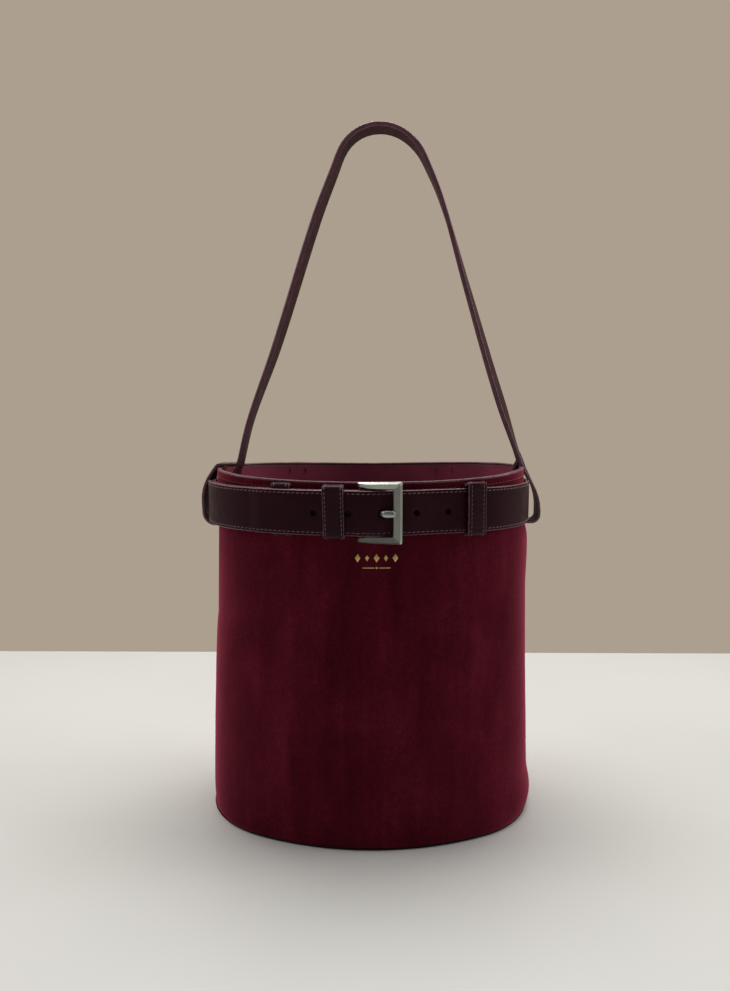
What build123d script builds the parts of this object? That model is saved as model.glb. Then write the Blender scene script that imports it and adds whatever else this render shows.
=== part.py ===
from build123d import *
from math import asin, atan2, cos, degrees, hypot, pi, sin
import os

# A bucket bag: a stiffened oval suede wall with a buckled belt below its rim and one strap over the top.
# Millimetres. +Z is up, the buckle faces -Y, and the origin is the centre of the base on the floor.
# "out" is always a distance outward from the suede, and "run" a distance round the bag from the
# middle of its front, positive towards +X.

# ---- driving dimensions: the bag's body ----
BASE_HALF_WIDTH = 126.0
RIM_HALF_WIDTH = 117.0
DEPTH_RATIO = 0.675
SIDE_RATIO = 0.85
HEIGHT = 262.0
SUEDE = 1.4
STIFFENER = 1.4
LINING = 0.8
FACING_DEPTH = 48.0
RIM_EDGE_HEIGHT = 1.2
BASE_PANEL = 1.6
BASE_BOARD = 2.4
WELT_LOW = 0.4
WELT_HIGH = 2.0
WELT_PROUD = 0.5

# ---- driving dimensions: the belt ----
BELT_WIDTH = 30.8
BELT_MID_Z = 240.0
LAYER = 1.3
BELT_THICK = 2 * LAYER
BELT_GAP = 0.2
TIP_BEFORE_SIDE = 12.0
BACKING_END_RUN = -36.0
TURNED_END_RUN = -34.0
HOLE_RUNS = [-36.8, -14.3, 30.7, 53.2]
HOLE_DIAMETER = 3.5
HOLE_OVERSHOOT = 0.15
HOLE_LENGTH = 8.0

# ---- driving dimensions: the buckle ----
BAR_RUN = -6.1
BAR_RADIUS = 1.5
BAR_CLEARANCE = 0.05
FRAME_HEIGHT = 42.2
FRAME_WINDOW = 32.2
FRAME_DEPTH = 4.2
FRAME_END_RUN = 20.8
FRAME_FAR_BAR = 5.8
FAR_BAR_OUT = 8.35
FRAME_BOW = 1.2
FRAME_EDGE = 1.2
FRAME_CORNER = 1.8
PRONG_WIDTH = 4.4
PRONG_THICK = 2.2
PRONG_EYE_RADIUS = 2.7
PRONG_ROOM = 5.1
PRONG_ROUTE = [(-4.9, 4.1), (3.0, 4.1), (8.6, 10.7), (15.3, 11.0)]
PRONG_BEND = 2.4
PRONG_HOLE = [(1.7, 5.8), (4.4, 9.4), (9.9, 9.4), (6.0, 4.6)]
PRONG_REST_RUNS = (13.5, 16.9)
PRONG_REST_OUT = 9.6
FOLD_SLOT_RUNS = (-12.3, -2.5)
FOLD_SLOT_DEPTH = 6.0
BAR_LENGTH = 40.6
WINDOW_FILLET = 2.0

# ---- driving dimensions: keeper and carriers ----
KEEPER_RUN = -23.6
KEEPER_WIDTH = 13.8
KEEPER_HEIGHT = 36.4
KEEPER_RISE = 0.6
KEEPER_THICK = 1.8
KEEPER_BACK_OUT = 0.4
KEEPER_BACK_THICK = 1.0
KEEPER_HOLE_CORNER = 0.8
CARRIER_WIDTH = 13.6
CARRIER_THICK = 1.8
CARRIER_THIN = 1.4
CARRIER_BEND = 0.9
CARRIER_LOW_BEND = 1.2
CARRIER_SLOPE = 2.2
SLIT_ABOVE_BELT = 1.9
SLIT_BELOW_BELT = 0.3
SLIT_CLEARANCE = 0.3
CARRIER_END_OUT = -2.7
FRONT_CARRIER_RIGHT = 73.2
FRONT_CARRIER_LEFT = -61.5
BACK_CARRIER = 65.0
STAND_PROUD = 5.2
FRONT_RIGHT_TOP_Z = 259.6
FRONT_LEFT_TOP_Z = 260.2
BACK_TOP_Z = 262.8

# ---- driving dimensions: side loops and strap ----
STRAP_WIDTH = 16.0
STRAP_THICK = 3.6
LOOP_THICK = 2.4
LOOP_RIGHT_Z = 222.6
LOOP_LEFT_Z = 220.9
SWING_Z = 280.5
FOLD_Z = 375.5
JOINT_GAP = 0.3
ARCH_X = 6.75
ARCH_Z = 480.7
ARCH_RADIUS = 33.3
FOOT_RIGHT_X = 112.9
FOOT_LEFT_X = -99.6
FOOT_LEAN = 0.34
TAB_ABOVE_RIM = 4.4
LOOP_RIGHT = [
    (111.0, LOOP_RIGHT_Z),
    (111.0, 268.4),
    (114.9, 268.4),
    (123.6, 254.4),
    (128.7, 236.0),
    (128.9, LOOP_RIGHT_Z),
]
LOOP_RIGHT_BENDS = [1.6, 1.6, 2.0, 10.0, 12.0, 6.5]
LOOP_LEFT = [
    (-112.2, LOOP_LEFT_Z),
    (-105.0, 266.4),
    (-116.2, 266.4),
    (-123.6, 254.4),
    (-126.9, 238.0),
    (-126.4, 225.6),
    (-118.6, LOOP_LEFT_Z),
]
LOOP_LEFT_BENDS = [1.6, 2.0, 3.0, 8.0, 12.0, 5.0, 3.0]

BELT_LOW_Z = BELT_MID_Z - BELT_WIDTH / 2
BELT_HIGH_Z = BELT_MID_Z + BELT_WIDTH / 2
INNER_WALL = SUEDE + STIFFENER


# ---- the oval of the bag ----
def half_width_at(z):
    return BASE_HALF_WIDTH + (RIM_HALF_WIDTH - BASE_HALF_WIDTH) * z / HEIGHT


def oval_numbers(half_width):
    """Radii and centres of the four tangent arcs: broad front and back, tight sides."""
    half_depth = DEPTH_RATIO * half_width
    side_r = SIDE_RATIO * half_depth
    side_x = half_width - side_r
    broad_r = (side_x**2 + half_depth**2 - side_r**2) / (2 * (half_depth - side_r))
    broad_y = broad_r - half_depth
    return side_r, side_x, broad_r, broad_y


def oval_wire(z, out):
    side_r, side_x, broad_r, broad_y = oval_numbers(half_width_at(z))
    lean = atan2(side_x, broad_y)
    corner_x = (broad_r + out) * sin(lean)
    corner_y = (broad_r + out) * cos(lean) - broad_y
    front_y = broad_r - broad_y + out
    end_x = side_x + side_r + out
    front = ThreePointArc((-corner_x, -corner_y, z), (0, -front_y, z), (corner_x, -corner_y, z))
    right = ThreePointArc((corner_x, -corner_y, z), (end_x, 0, z), (corner_x, corner_y, z))
    back = ThreePointArc((corner_x, corner_y, z), (0, front_y, z), (-corner_x, corner_y, z))
    left = ThreePointArc((-corner_x, corner_y, z), (-end_x, 0, z), (-corner_x, -corner_y, z))
    return Wire([front, right, back, left])


def oval_solid(low, high, out):
    return Solid.make_loft([oval_wire(low, out), oval_wire(high, out)], ruled=True)


def oval_shell(low, high, out, thick):
    return oval_solid(low, high, out) - oval_solid(low, high, out - thick)


# ---- the line of the belt round the bag ----
SIDE_R, SIDE_X, BROAD_R, BROAD_Y = oval_numbers(half_width_at(BELT_LOW_Z))
BROAD_LEAN = atan2(SIDE_X, BROAD_Y)
HALF_BROAD = BROAD_R * BROAD_LEAN
SIDE_RUN = SIDE_R * (pi - 2 * BROAD_LEAN)
PERIMETER = 4 * HALF_BROAD + 2 * SIDE_RUN
BELT_ARCS = [
    ((0, BROAD_Y), BROAD_R, HALF_BROAD),
    ((SIDE_X, 0), SIDE_R, SIDE_RUN),
    ((0, -BROAD_Y), BROAD_R, 2 * HALF_BROAD),
    ((-SIDE_X, 0), SIDE_R, SIDE_RUN),
    ((0, BROAD_Y), BROAD_R, HALF_BROAD),
]
ARC_ENDS = [
    -HALF_BROAD - SIDE_RUN,
    -HALF_BROAD,
    HALF_BROAD,
    HALF_BROAD + SIDE_RUN,
    3 * HALF_BROAD + SIDE_RUN,
    3 * HALF_BROAD + 2 * SIDE_RUN,
]


def belt_place(run, out):
    """Plan position and outward heading of a point on the belt's line."""
    left = run % PERIMETER
    heading = -pi / 2
    for centre, radius, length in BELT_ARCS:
        if left <= length:
            heading += left / radius
            x = centre[0] + (radius + out) * cos(heading)
            y = centre[1] + (radius + out) * sin(heading)
            return x, y, heading
        heading += length / radius
        left -= length
    return belt_place(0, out)


def belt_point(run, out, z=0.0):
    x, y, heading = belt_place(run, out)
    return Vector(x, y, z)


def belt_tangent(run):
    x, y, heading = belt_place(run, 0)
    return Vector(-sin(heading), cos(heading), 0)


def level_line(start, end, out):
    """Arcs round the bag at one distance from the suede."""
    cuts = [start] + [cut for cut in ARC_ENDS if start < cut < end] + [end]
    line = []
    for low, high in zip(cuts, cuts[1:]):
        middle = belt_point((low + high) / 2, out)
        line.append(ThreePointArc(belt_point(low, out), middle, belt_point(high, out)))
    return line


def step_line(start, end, out_start, out_end):
    """A smooth rise or fall from one distance to another."""
    points = []
    for part in (0, 0.25, 0.5, 0.75, 1):
        smooth = part * part * (3 - 2 * part)
        run = start + part * (end - start)
        points.append(belt_point(run, out_start + smooth * (out_end - out_start)))
    return [Spline(*points, tangents=[belt_tangent(start), belt_tangent(end)])]


def strap_line(stations, grow):
    """One long side of a strap that passes through (run, out) stations."""
    line = []
    for (run_a, out_a), (run_b, out_b) in zip(stations, stations[1:]):
        if out_a == out_b:
            line += level_line(run_a, run_b, out_a + grow)
        else:
            line += step_line(run_a, run_b, out_a + grow, out_b + grow)
    return line


def end_line(run, out_a, out_b):
    return [Line(belt_point(run, out_a), belt_point(run, out_b))]


def upright(edges, low, high):
    """Extrude a closed plan outline between two heights."""
    return Pos(0, 0, low) * extrude(make_face(edges), high - low)


def front_ring(profile, run, width):
    """Turn an (out, z) profile about the front arc's axis, over a width centred at a run."""
    axis = Axis((0, BROAD_Y, 0), (0, 0, 1))
    swung = revolve(profile, axis, degrees(width / BROAD_R))
    return swung.rotate(axis, degrees((run - width / 2) / BROAD_R))


def out_plane():
    """Profile plane at the middle of the front: first axis outward, second axis up."""
    return Plane(origin=(0, BROAD_Y - BROAD_R, 0), x_dir=(0, -1, 0), z_dir=(-1, 0, 0))


# ---- levels of the strap: each station is (run, out) of the strap's inner face ----
KEEPER_LIFT = 1.9
TONGUE_LEVEL = 4.7
BAR_OUT = BELT_GAP + LAYER + BAR_RADIUS + BAR_CLEARANCE
BAR_TOP = BAR_OUT + BAR_RADIUS + BAR_CLEARANCE
TONGUE_OVER_BAR = BAR_TOP + LAYER + BELT_GAP
TURNED_LEVEL = 1.7
RISE_RUN = -12.6
TIP_LEVEL = BELT_GAP + BELT_THICK + BELT_GAP
UNDER_FAR_BAR = 3.1
TIP_RUN = TIP_BEFORE_SIDE - HALF_BROAD - SIDE_RUN / 2

TONGUE = [
    (TIP_RUN, TIP_LEVEL),
    (-86.0, TIP_LEVEL),
    (-74.0, TONGUE_LEVEL),
    (RISE_RUN, TONGUE_LEVEL),
    (BAR_RUN, TONGUE_OVER_BAR),
    (4.0, TONGUE_OVER_BAR),
    (13.5, UNDER_FAR_BAR),
    (22.0, UNDER_FAR_BAR),
    (44.0, BELT_GAP),
    (PERIMETER - 53.0, BELT_GAP),
    (PERIMETER - 46.0, KEEPER_LIFT),
]
BACKING = TONGUE + [(PERIMETER + BACKING_END_RUN, KEEPER_LIFT)]
FACE = TONGUE + [(PERIMETER + RISE_RUN, KEEPER_LIFT), (PERIMETER + BAR_RUN, BAR_TOP - LAYER)]
TURNED = [(TURNED_END_RUN, TURNED_LEVEL), (RISE_RUN, TURNED_LEVEL), (BAR_RUN, BELT_GAP)]


def bar_centre():
    return belt_point(BAR_RUN, BAR_OUT)


def fold_arc(radius):
    """Half turn of the strap round the buckle's bar."""
    start = belt_point(BAR_RUN, BAR_OUT - radius)
    middle = bar_centre() + belt_tangent(BAR_RUN) * radius
    end = belt_point(BAR_RUN, BAR_OUT + radius)
    return [ThreePointArc(start, middle, end)]


# ---- the buckle ----
def frame_solid():
    """A bowed plate, cut to a three-sided frame whose arms carry the bar."""
    half = FRAME_DEPTH / 2
    low_z = BELT_MID_Z - FRAME_HEIGHT / 2
    middle_run = (BAR_RUN + FRAME_END_RUN) / 2
    middle_out = (BAR_OUT + FAR_BAR_OUT) / 2 + FRAME_BOW
    faces = []
    for side in (-half, half):
        start = belt_point(BAR_RUN, BAR_OUT + side)
        middle = belt_point(middle_run, middle_out + side)
        end = belt_point(FRAME_END_RUN, FAR_BAR_OUT + side)
        faces.append((start, middle, end))
    inner, outer = faces
    round_end = ThreePointArc(inner[0], bar_centre() - belt_tangent(BAR_RUN) * half, outer[0])
    outline = [round_end, ThreePointArc(*outer), Line(inner[2], outer[2]), ThreePointArc(*inner)]
    plate = upright(outline, low_z, low_z + FRAME_HEIGHT)
    window_end = belt_point(FRAME_END_RUN - FRAME_FAR_BAR, FAR_BAR_OUT).X
    window = Box(FRAME_HEIGHT, FRAME_HEIGHT, FRAME_WINDOW)
    window = Pos(window_end - FRAME_HEIGHT / 2, BROAD_Y - BROAD_R, BELT_MID_Z) * window
    window = fillet(window.edges().filter_by(Axis.Y).group_by(Axis.X)[-1], WINDOW_FILLET)
    frame = plate - window
    uprights = frame.edges().filter_by(lambda edge: abs(edge.length - FRAME_DEPTH) < 0.01)
    frame = fillet(uprights.group_by(Axis.X)[-1], FRAME_CORNER)
    frame = fillet(frame.edges(), FRAME_EDGE)
    rest_start, rest_end = PRONG_REST_RUNS
    profile = Pos(PRONG_REST_OUT + FRAME_DEPTH / 2, BELT_MID_Z) * Rectangle(FRAME_DEPTH, PRONG_ROOM)
    rest = front_ring(out_plane() * profile, (rest_start + rest_end) / 2, rest_end - rest_start)
    return frame - rest


def prong_plan():
    """Eye round the bar, and a shank under the tongue, up through its hole and onto the far bar."""
    route = [belt_point(run, out) for run, out in PRONG_ROUTE]
    shank = trace(FilletPolyline(*route, radius=PRONG_BEND), PRONG_THICK)
    tip = Pos(*route[-1]) * Circle(PRONG_THICK / 2)
    eye = Pos(*bar_centre()) * Circle(PRONG_EYE_RADIUS)
    return eye + shank + tip


def prong_solid():
    bore = Pos(*bar_centre()) * Circle(BAR_RADIUS + BAR_CLEARANCE)
    return Pos(0, 0, BELT_MID_Z - PRONG_WIDTH / 2) * extrude(prong_plan() - bore, PRONG_WIDTH)


def fold_slot():
    """Slot through the folded strap for the prong's eye."""
    start_run, end_run = FOLD_SLOT_RUNS
    profile = Pos(BAR_OUT, BELT_MID_Z) * Rectangle(FOLD_SLOT_DEPTH, PRONG_ROOM)
    return front_ring(out_plane() * profile, (start_run + end_run) / 2, end_run - start_run)


def tongue_hole():
    """Slanted hole through the tongue, with the room that the prong's play needs."""
    corners = [belt_point(run, out) for run, out in PRONG_HOLE]
    outline = Polyline(*corners, close=True)
    return Pos(0, 0, BELT_MID_Z - PRONG_ROOM / 2) * extrude(make_face(outline), PRONG_ROOM)


def bar_solid():
    return Pos(bar_centre().X, bar_centre().Y, BELT_MID_Z) * Cylinder(BAR_RADIUS, BAR_LENGTH)


# ---- the belt ----
def strap_hole(run):
    """A punched round hole through both leather layers of the strap at one run."""
    x, y, heading = belt_place(run, 0)
    inner_out = TONGUE_LEVEL if run < 0 else BELT_GAP
    start = belt_point(run, inner_out - HOLE_OVERSHOOT, BELT_MID_Z)
    plane = Plane(origin=start, z_dir=(cos(heading), sin(heading), 0))
    return extrude(plane * Circle(HOLE_DIAMETER / 2), HOLE_LENGTH)


def belt_face_solid():
    outline = strap_line(FACE, BELT_THICK) + strap_line(FACE, LAYER)
    outline += fold_arc(BAR_RADIUS + BAR_CLEARANCE) + fold_arc(BAR_RADIUS + BAR_CLEARANCE + LAYER)
    outline += strap_line(TURNED, 0) + strap_line(TURNED, LAYER)
    outline += end_line(TIP_RUN, TIP_LEVEL + LAYER, TIP_LEVEL + BELT_THICK)
    outline += end_line(TURNED_END_RUN, TURNED_LEVEL, TURNED_LEVEL + LAYER)
    return upright(outline, BELT_LOW_Z, BELT_HIGH_Z)


def belt_backing_solid():
    outline = strap_line(BACKING, 0) + strap_line(BACKING, LAYER)
    outline += end_line(TIP_RUN, TIP_LEVEL, TIP_LEVEL + LAYER)
    outline += end_line(BACKING_END_RUN, KEEPER_LIFT, KEEPER_LIFT + LAYER)
    return upright(outline, BELT_LOW_Z, BELT_HIGH_Z)


def keeper_solid():
    """Free leather ring round both layers of the belt, on the front arc."""
    hole_low = KEEPER_BACK_OUT + KEEPER_BACK_THICK
    hole_high = TONGUE_LEVEL + BELT_THICK + JOINT_GAP
    ring_high = hole_high + KEEPER_THICK
    outside = fillet(Rectangle(ring_high - KEEPER_BACK_OUT, KEEPER_HEIGHT).vertices(), KEEPER_THICK)
    hole = Rectangle(hole_high - hole_low, KEEPER_HEIGHT - 2 * KEEPER_THICK)
    hole = fillet(hole.vertices(), KEEPER_HOLE_CORNER)
    ring = Pos((KEEPER_BACK_OUT + ring_high) / 2, BELT_MID_Z + KEEPER_RISE) * outside
    ring -= Pos((hole_low + hole_high) / 2, BELT_MID_Z + KEEPER_RISE) * hole
    return front_ring(out_plane() * ring, KEEPER_RUN, KEEPER_WIDTH)


def carrier_solid(stand_off, thick, top_z, run):
    """Fixed leather loop whose two ends are sewn into slits in the wall, under the facing."""
    mid = stand_off + thick / 2
    slit_high = BELT_HIGH_Z + SLIT_ABOVE_BELT
    slit_low = BELT_LOW_Z - SLIT_BELOW_BELT - thick / 2
    route = FilletPolyline(
        (CARRIER_END_OUT, slit_high),
        (LAYER, slit_high),
        (mid - CARRIER_SLOPE, top_z - thick / 2),
        (mid, top_z - thick / 2),
        (mid, slit_low),
        (CARRIER_END_OUT, slit_low),
        radius=[CARRIER_BEND, CARRIER_BEND, CARRIER_BEND, CARRIER_LOW_BEND],
    )
    return front_ring(out_plane() * trace(route, thick), run, CARRIER_WIDTH)


def slit_cutter(z, run):
    """Slit through suede and stiffener for one end of a carrier."""
    slit = Rectangle(LAYER + INNER_WALL, CARRIER_THICK + 2 * SLIT_CLEARANCE)
    profile = Pos((LAYER - INNER_WALL) / 2, z) * slit
    return front_ring(out_plane() * profile, run, CARRIER_WIDTH + 2 * SLIT_CLEARANCE)


def to_back(shape):
    """Half turn about the bag's upright axis."""
    return shape.rotate(Axis.Z, 180)


# ---- side loops and strap ----
def loop_solid(points, radii, foot_x, lean):
    """Closed leather loop round wall and belt, with a tab that runs up into the strap."""
    line = FilletPolyline(*points, radius=radii, close=True)
    outside = offset(make_face(line), LOOP_THICK / 2, kind=Kind.ARC)
    inside = offset(make_face(line), -LOOP_THICK / 2, kind=Kind.ARC)
    tab_top = SWING_Z - STRAP_WIDTH / 2 - JOINT_GAP
    tab_low = HEIGHT + TAB_ABOVE_RIM
    height = tab_top - tab_low
    centre_x = foot_x + lean * (SWING_Z - (tab_top + tab_low) / 2)
    half = STRAP_THICK / 2
    shift = lean * height / 2
    tab = Polygon(
        (centre_x + shift - half, -height / 2),
        (centre_x + shift + half, -height / 2),
        (centre_x - shift + half, height / 2),
        (centre_x - shift - half, height / 2),
        align=None,
    )
    tab = Pos(0, (tab_top + tab_low) / 2) * tab
    profile = outside - inside + (tab - inside)
    return extrude(Plane.XZ * profile, STRAP_WIDTH / 2, both=True)


def leg_tangent(foot_x, side, grow):
    """Where a leg meets the arch: foot, and touching point on the arch's circle."""
    dx = foot_x - ARCH_X
    dz = SWING_Z - ARCH_Z
    away = hypot(dx, dz)
    bearing = atan2(dz, dx) + side * (pi / 2 - asin(ARCH_RADIUS / away))
    direction = Vector(cos(bearing), 0, sin(bearing))
    touch = Vector(ARCH_X, 0, ARCH_Z) + direction * (ARCH_RADIUS + grow)
    foot = Vector(foot_x, 0, SWING_Z) + direction * grow
    return foot, touch


def strap_layer(grow_in, grow_out):
    """The whole strap between two distances from its middle line, from foot to foot."""
    edges = []
    ends = []
    for grow in (grow_in, grow_out):
        foot_r, touch_r = leg_tangent(FOOT_RIGHT_X, 1, grow)
        foot_l, touch_l = leg_tangent(FOOT_LEFT_X, -1, grow)
        low_r = foot_r + (foot_r - touch_r).normalized() * STRAP_WIDTH
        low_l = foot_l + (foot_l - touch_l).normalized() * STRAP_WIDTH
        top = Vector(ARCH_X, 0, ARCH_Z + ARCH_RADIUS + grow)
        edges += [Line(low_r, touch_r), ThreePointArc(touch_r, top, touch_l), Line(touch_l, low_l)]
        ends.append((low_r, low_l))
    edges.append(Line(ends[0][0], ends[1][0]))
    edges.append(Line(ends[0][1], ends[1][1]))
    return extrude(make_face(edges), STRAP_WIDTH / 2, both=True)


def strap_span(layer, low_hinge, high_z):
    """The part of a strap layer from a rounded end at a hinge up to a height."""
    reach = 2 * HEIGHT
    radius = STRAP_WIDTH / 2
    above = Pos(0, 0, (low_hinge + high_z) / 2) * Box(reach, reach, high_z - low_hinge)
    end = Pos(0, 0, low_hinge) * Rot(0, 90, 0) * Cylinder(radius, reach)
    return layer & (above + end)


def side_of(shape, sign):
    """The solids of a shape on one side of the bag."""
    kept = [solid for solid in shape.solids() if solid.center().X * sign > 0]
    return kept[0]


# ---- walls ----
WALL_TOP = HEIGHT - RIM_EDGE_HEIGHT
LINING_LOW = BASE_PANEL + BASE_BOARD + LINING
FACING_LOW = HEIGHT - FACING_DEPTH
OVER_BELT = 2 * BELT_GAP + BELT_THICK
CARRIERS = [
    ("carrier_front_right", FRONT_CARRIER_RIGHT, STAND_PROUD, CARRIER_THICK, FRONT_RIGHT_TOP_Z, False),
    ("carrier_front_left", FRONT_CARRIER_LEFT, OVER_BELT, CARRIER_THIN, FRONT_LEFT_TOP_Z, False),
    ("carrier_back_right", -BACK_CARRIER, OVER_BELT + BELT_GAP, CARRIER_THICK, BACK_TOP_Z, True),
    ("carrier_back_left", BACK_CARRIER, OVER_BELT + BELT_GAP, CARRIER_THICK, BACK_TOP_Z, True),
]

carriers = {}
cutters = []
for name, carrier_run, stand_off, thick, top_z, at_back in CARRIERS:
    pieces = [
        carrier_solid(stand_off, thick, top_z, carrier_run),
        slit_cutter(BELT_HIGH_Z + SLIT_ABOVE_BELT, carrier_run),
        slit_cutter(BELT_LOW_Z - SLIT_BELOW_BELT - CARRIER_THICK / 2, carrier_run),
    ]
    if at_back:
        pieces = [to_back(piece) for piece in pieces]
    carriers[name] = pieces[0]
    cutters += pieces[1:]
loop_slots = []
for side, slot_z in ((-1, LOOP_LEFT_Z), (1, LOOP_RIGHT_Z)):
    slot = Box(20, STRAP_WIDTH + 2 * SLIT_CLEARANCE, LOOP_THICK + 2 * SLIT_CLEARANCE)
    loop_slots.append(Pos(side * half_width_at(slot_z), 0, slot_z) * slot)


def with_slots(shape):
    for cutter in cutters + loop_slots:
        shape = shape - cutter
    return shape


suede = with_slots(oval_shell(BASE_PANEL, WALL_TOP, 0, SUEDE))
half_space = Box(2 * HEIGHT, HEIGHT, 2 * HEIGHT)

parts = {
    "front_panel": suede & (Pos(0, -HEIGHT / 2, HEIGHT / 2) * half_space),
    "back_panel": suede & (Pos(0, HEIGHT / 2, HEIGHT / 2) * half_space),
    "wall_stiffener": with_slots(oval_shell(BASE_PANEL, WALL_TOP, -SUEDE, STIFFENER)),
    "rim_facing": oval_shell(FACING_LOW, WALL_TOP, -INNER_WALL, LINING) - loop_slots[0] - loop_slots[1],
    "lining_wall": oval_shell(LINING_LOW, FACING_LOW, -INNER_WALL, LINING),
    "rim_edge": oval_shell(WALL_TOP, HEIGHT, 0, INNER_WALL + LINING),
    "base_panel": oval_solid(0, BASE_PANEL, 0),
    "base_board": oval_solid(BASE_PANEL, BASE_PANEL + BASE_BOARD, -INNER_WALL),
    "base_lining": oval_solid(BASE_PANEL + BASE_BOARD, LINING_LOW, -INNER_WALL),
    "base_welt": oval_shell(WELT_LOW, WELT_HIGH, WELT_PROUD, WELT_PROUD),
}
parts.update(carriers)

# ---- belt, buckle, keeper ----
face = belt_face_solid() - fold_slot() - tongue_hole()
backing = belt_backing_solid() - tongue_hole()
for hole_run in HOLE_RUNS:
    face = face - strap_hole(hole_run)
    backing = backing - strap_hole(hole_run)
parts["belt_face"] = face
parts["belt_backing"] = backing
parts["belt_keeper"] = keeper_solid()
parts["buckle_frame"] = frame_solid() - bar_solid()
parts["buckle_bar"] = bar_solid()
parts["buckle_prong"] = prong_solid()

# ---- side loops ----
parts["side_loop_right"] = loop_solid(LOOP_RIGHT, LOOP_RIGHT_BENDS, FOOT_RIGHT_X, FOOT_LEAN)
parts["side_loop_left"] = loop_solid(LOOP_LEFT, LOOP_LEFT_BENDS, FOOT_LEFT_X, -FOOT_LEAN)

# ---- strap ----
leg_top = FOLD_Z - STRAP_WIDTH / 2 - JOINT_GAP
strap_top = ARCH_Z + ARCH_RADIUS + STRAP_THICK
layers = {
    "backing": strap_layer(-STRAP_THICK / 2, 0),
    "face": strap_layer(0, STRAP_THICK / 2),
}
for layer_name, layer in layers.items():
    legs = strap_span(layer, SWING_Z, leg_top)
    parts["strap_leg_right_" + layer_name] = side_of(legs, 1)
    parts["strap_leg_left_" + layer_name] = side_of(legs, -1)
    parts["strap_arch_" + layer_name] = strap_span(layer, FOLD_Z, strap_top)

os.makedirs("parts", exist_ok=True)
for node, shape in parts.items():
    export_step(shape, "parts/" + node + ".step")
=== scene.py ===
from bisect import bisect_right
from math import asin, atan2, cos, exp, hypot, pi, radians, sin, sqrt, tan

import bmesh
import bpy
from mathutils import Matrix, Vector, noise


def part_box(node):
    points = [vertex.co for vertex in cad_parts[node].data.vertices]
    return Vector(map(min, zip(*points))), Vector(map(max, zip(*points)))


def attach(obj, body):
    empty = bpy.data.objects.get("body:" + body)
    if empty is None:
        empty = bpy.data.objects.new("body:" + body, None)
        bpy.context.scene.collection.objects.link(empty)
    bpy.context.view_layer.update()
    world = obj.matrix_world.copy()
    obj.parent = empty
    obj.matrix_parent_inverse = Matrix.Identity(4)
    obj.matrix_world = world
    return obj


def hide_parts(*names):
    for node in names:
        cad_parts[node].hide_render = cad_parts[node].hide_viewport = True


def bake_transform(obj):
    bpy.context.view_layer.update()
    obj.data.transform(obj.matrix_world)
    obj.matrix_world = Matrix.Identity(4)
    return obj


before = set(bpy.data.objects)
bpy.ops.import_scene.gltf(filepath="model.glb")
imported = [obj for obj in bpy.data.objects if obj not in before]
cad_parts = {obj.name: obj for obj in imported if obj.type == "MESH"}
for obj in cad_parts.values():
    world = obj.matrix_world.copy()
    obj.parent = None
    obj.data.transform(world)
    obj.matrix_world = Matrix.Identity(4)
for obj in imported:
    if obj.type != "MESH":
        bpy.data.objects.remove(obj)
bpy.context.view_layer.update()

# The looks of the bucket bag. Lengths are millimetres and turn into metres when a mesh is made. "out" is a
# distance outward from the suede, "run" a distance round the belt from the middle of the front towards +X,
# and "turn" the same as a share of one lap.
MM = 0.001


def uneven(*place):
    """Smooth random value between about -1 and 1, always the same at a place."""
    return noise.noise(Vector(place))


def box_mm(node):
    low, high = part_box(node)
    return low / MM, high / MM


# ---- sizes taken from the frame ----
BASE_HIGH = box_mm("base_panel")[1]
RIM_LOW, RIM_HIGH = box_mm("rim_edge")
FACING_LOW = box_mm("rim_facing")[0]
BELT_LOW, BELT_HIGH = box_mm("belt_face")
BAR_LOW, BAR_HIGH = box_mm("buckle_bar")
FRAME_LOW, FRAME_HIGH = box_mm("buckle_frame")
PRONG_LOW, PRONG_HIGH = box_mm("buckle_prong")
KEEPER_LOW, KEEPER_HIGH = box_mm("belt_keeper")
WELT_LOW = box_mm("base_welt")[0]
FLOOR_LOW, FLOOR_HIGH = box_mm("base_lining")

HEIGHT = RIM_HIGH.z
WALL_TOP = RIM_LOW.z
DEPTH_RATIO = BASE_HIGH.y / BASE_HIGH.x
SIDE_RATIO = 0.85
BELT_MID_Z = (BELT_LOW.z + BELT_HIGH.z) / 2
BELT_WIDTH = BELT_HIGH.z - BELT_LOW.z

# ---- thicknesses and levels, as in the CAD model ----
SUEDE = 1.4
STIFFENER = 1.4
LINING = 0.8
WALL = SUEDE + STIFFENER + LINING
LAYER = 1.3
BELT_THICK = 2 * LAYER
BELT_GAP = 0.2
KEEPER_LIFT = 1.9
TONGUE_LEVEL = 4.7
TURNED_LEVEL = 1.7
UNDER_FAR_BAR = 3.1
BAR_RUN = -6.1
BAR_RADIUS = 1.55
TIP_BEFORE_SIDE = 12.0
BAR_OUT = BELT_GAP + LAYER + BAR_RADIUS
OVER_BAR = BAR_OUT + BAR_RADIUS + LAYER + BELT_GAP


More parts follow.
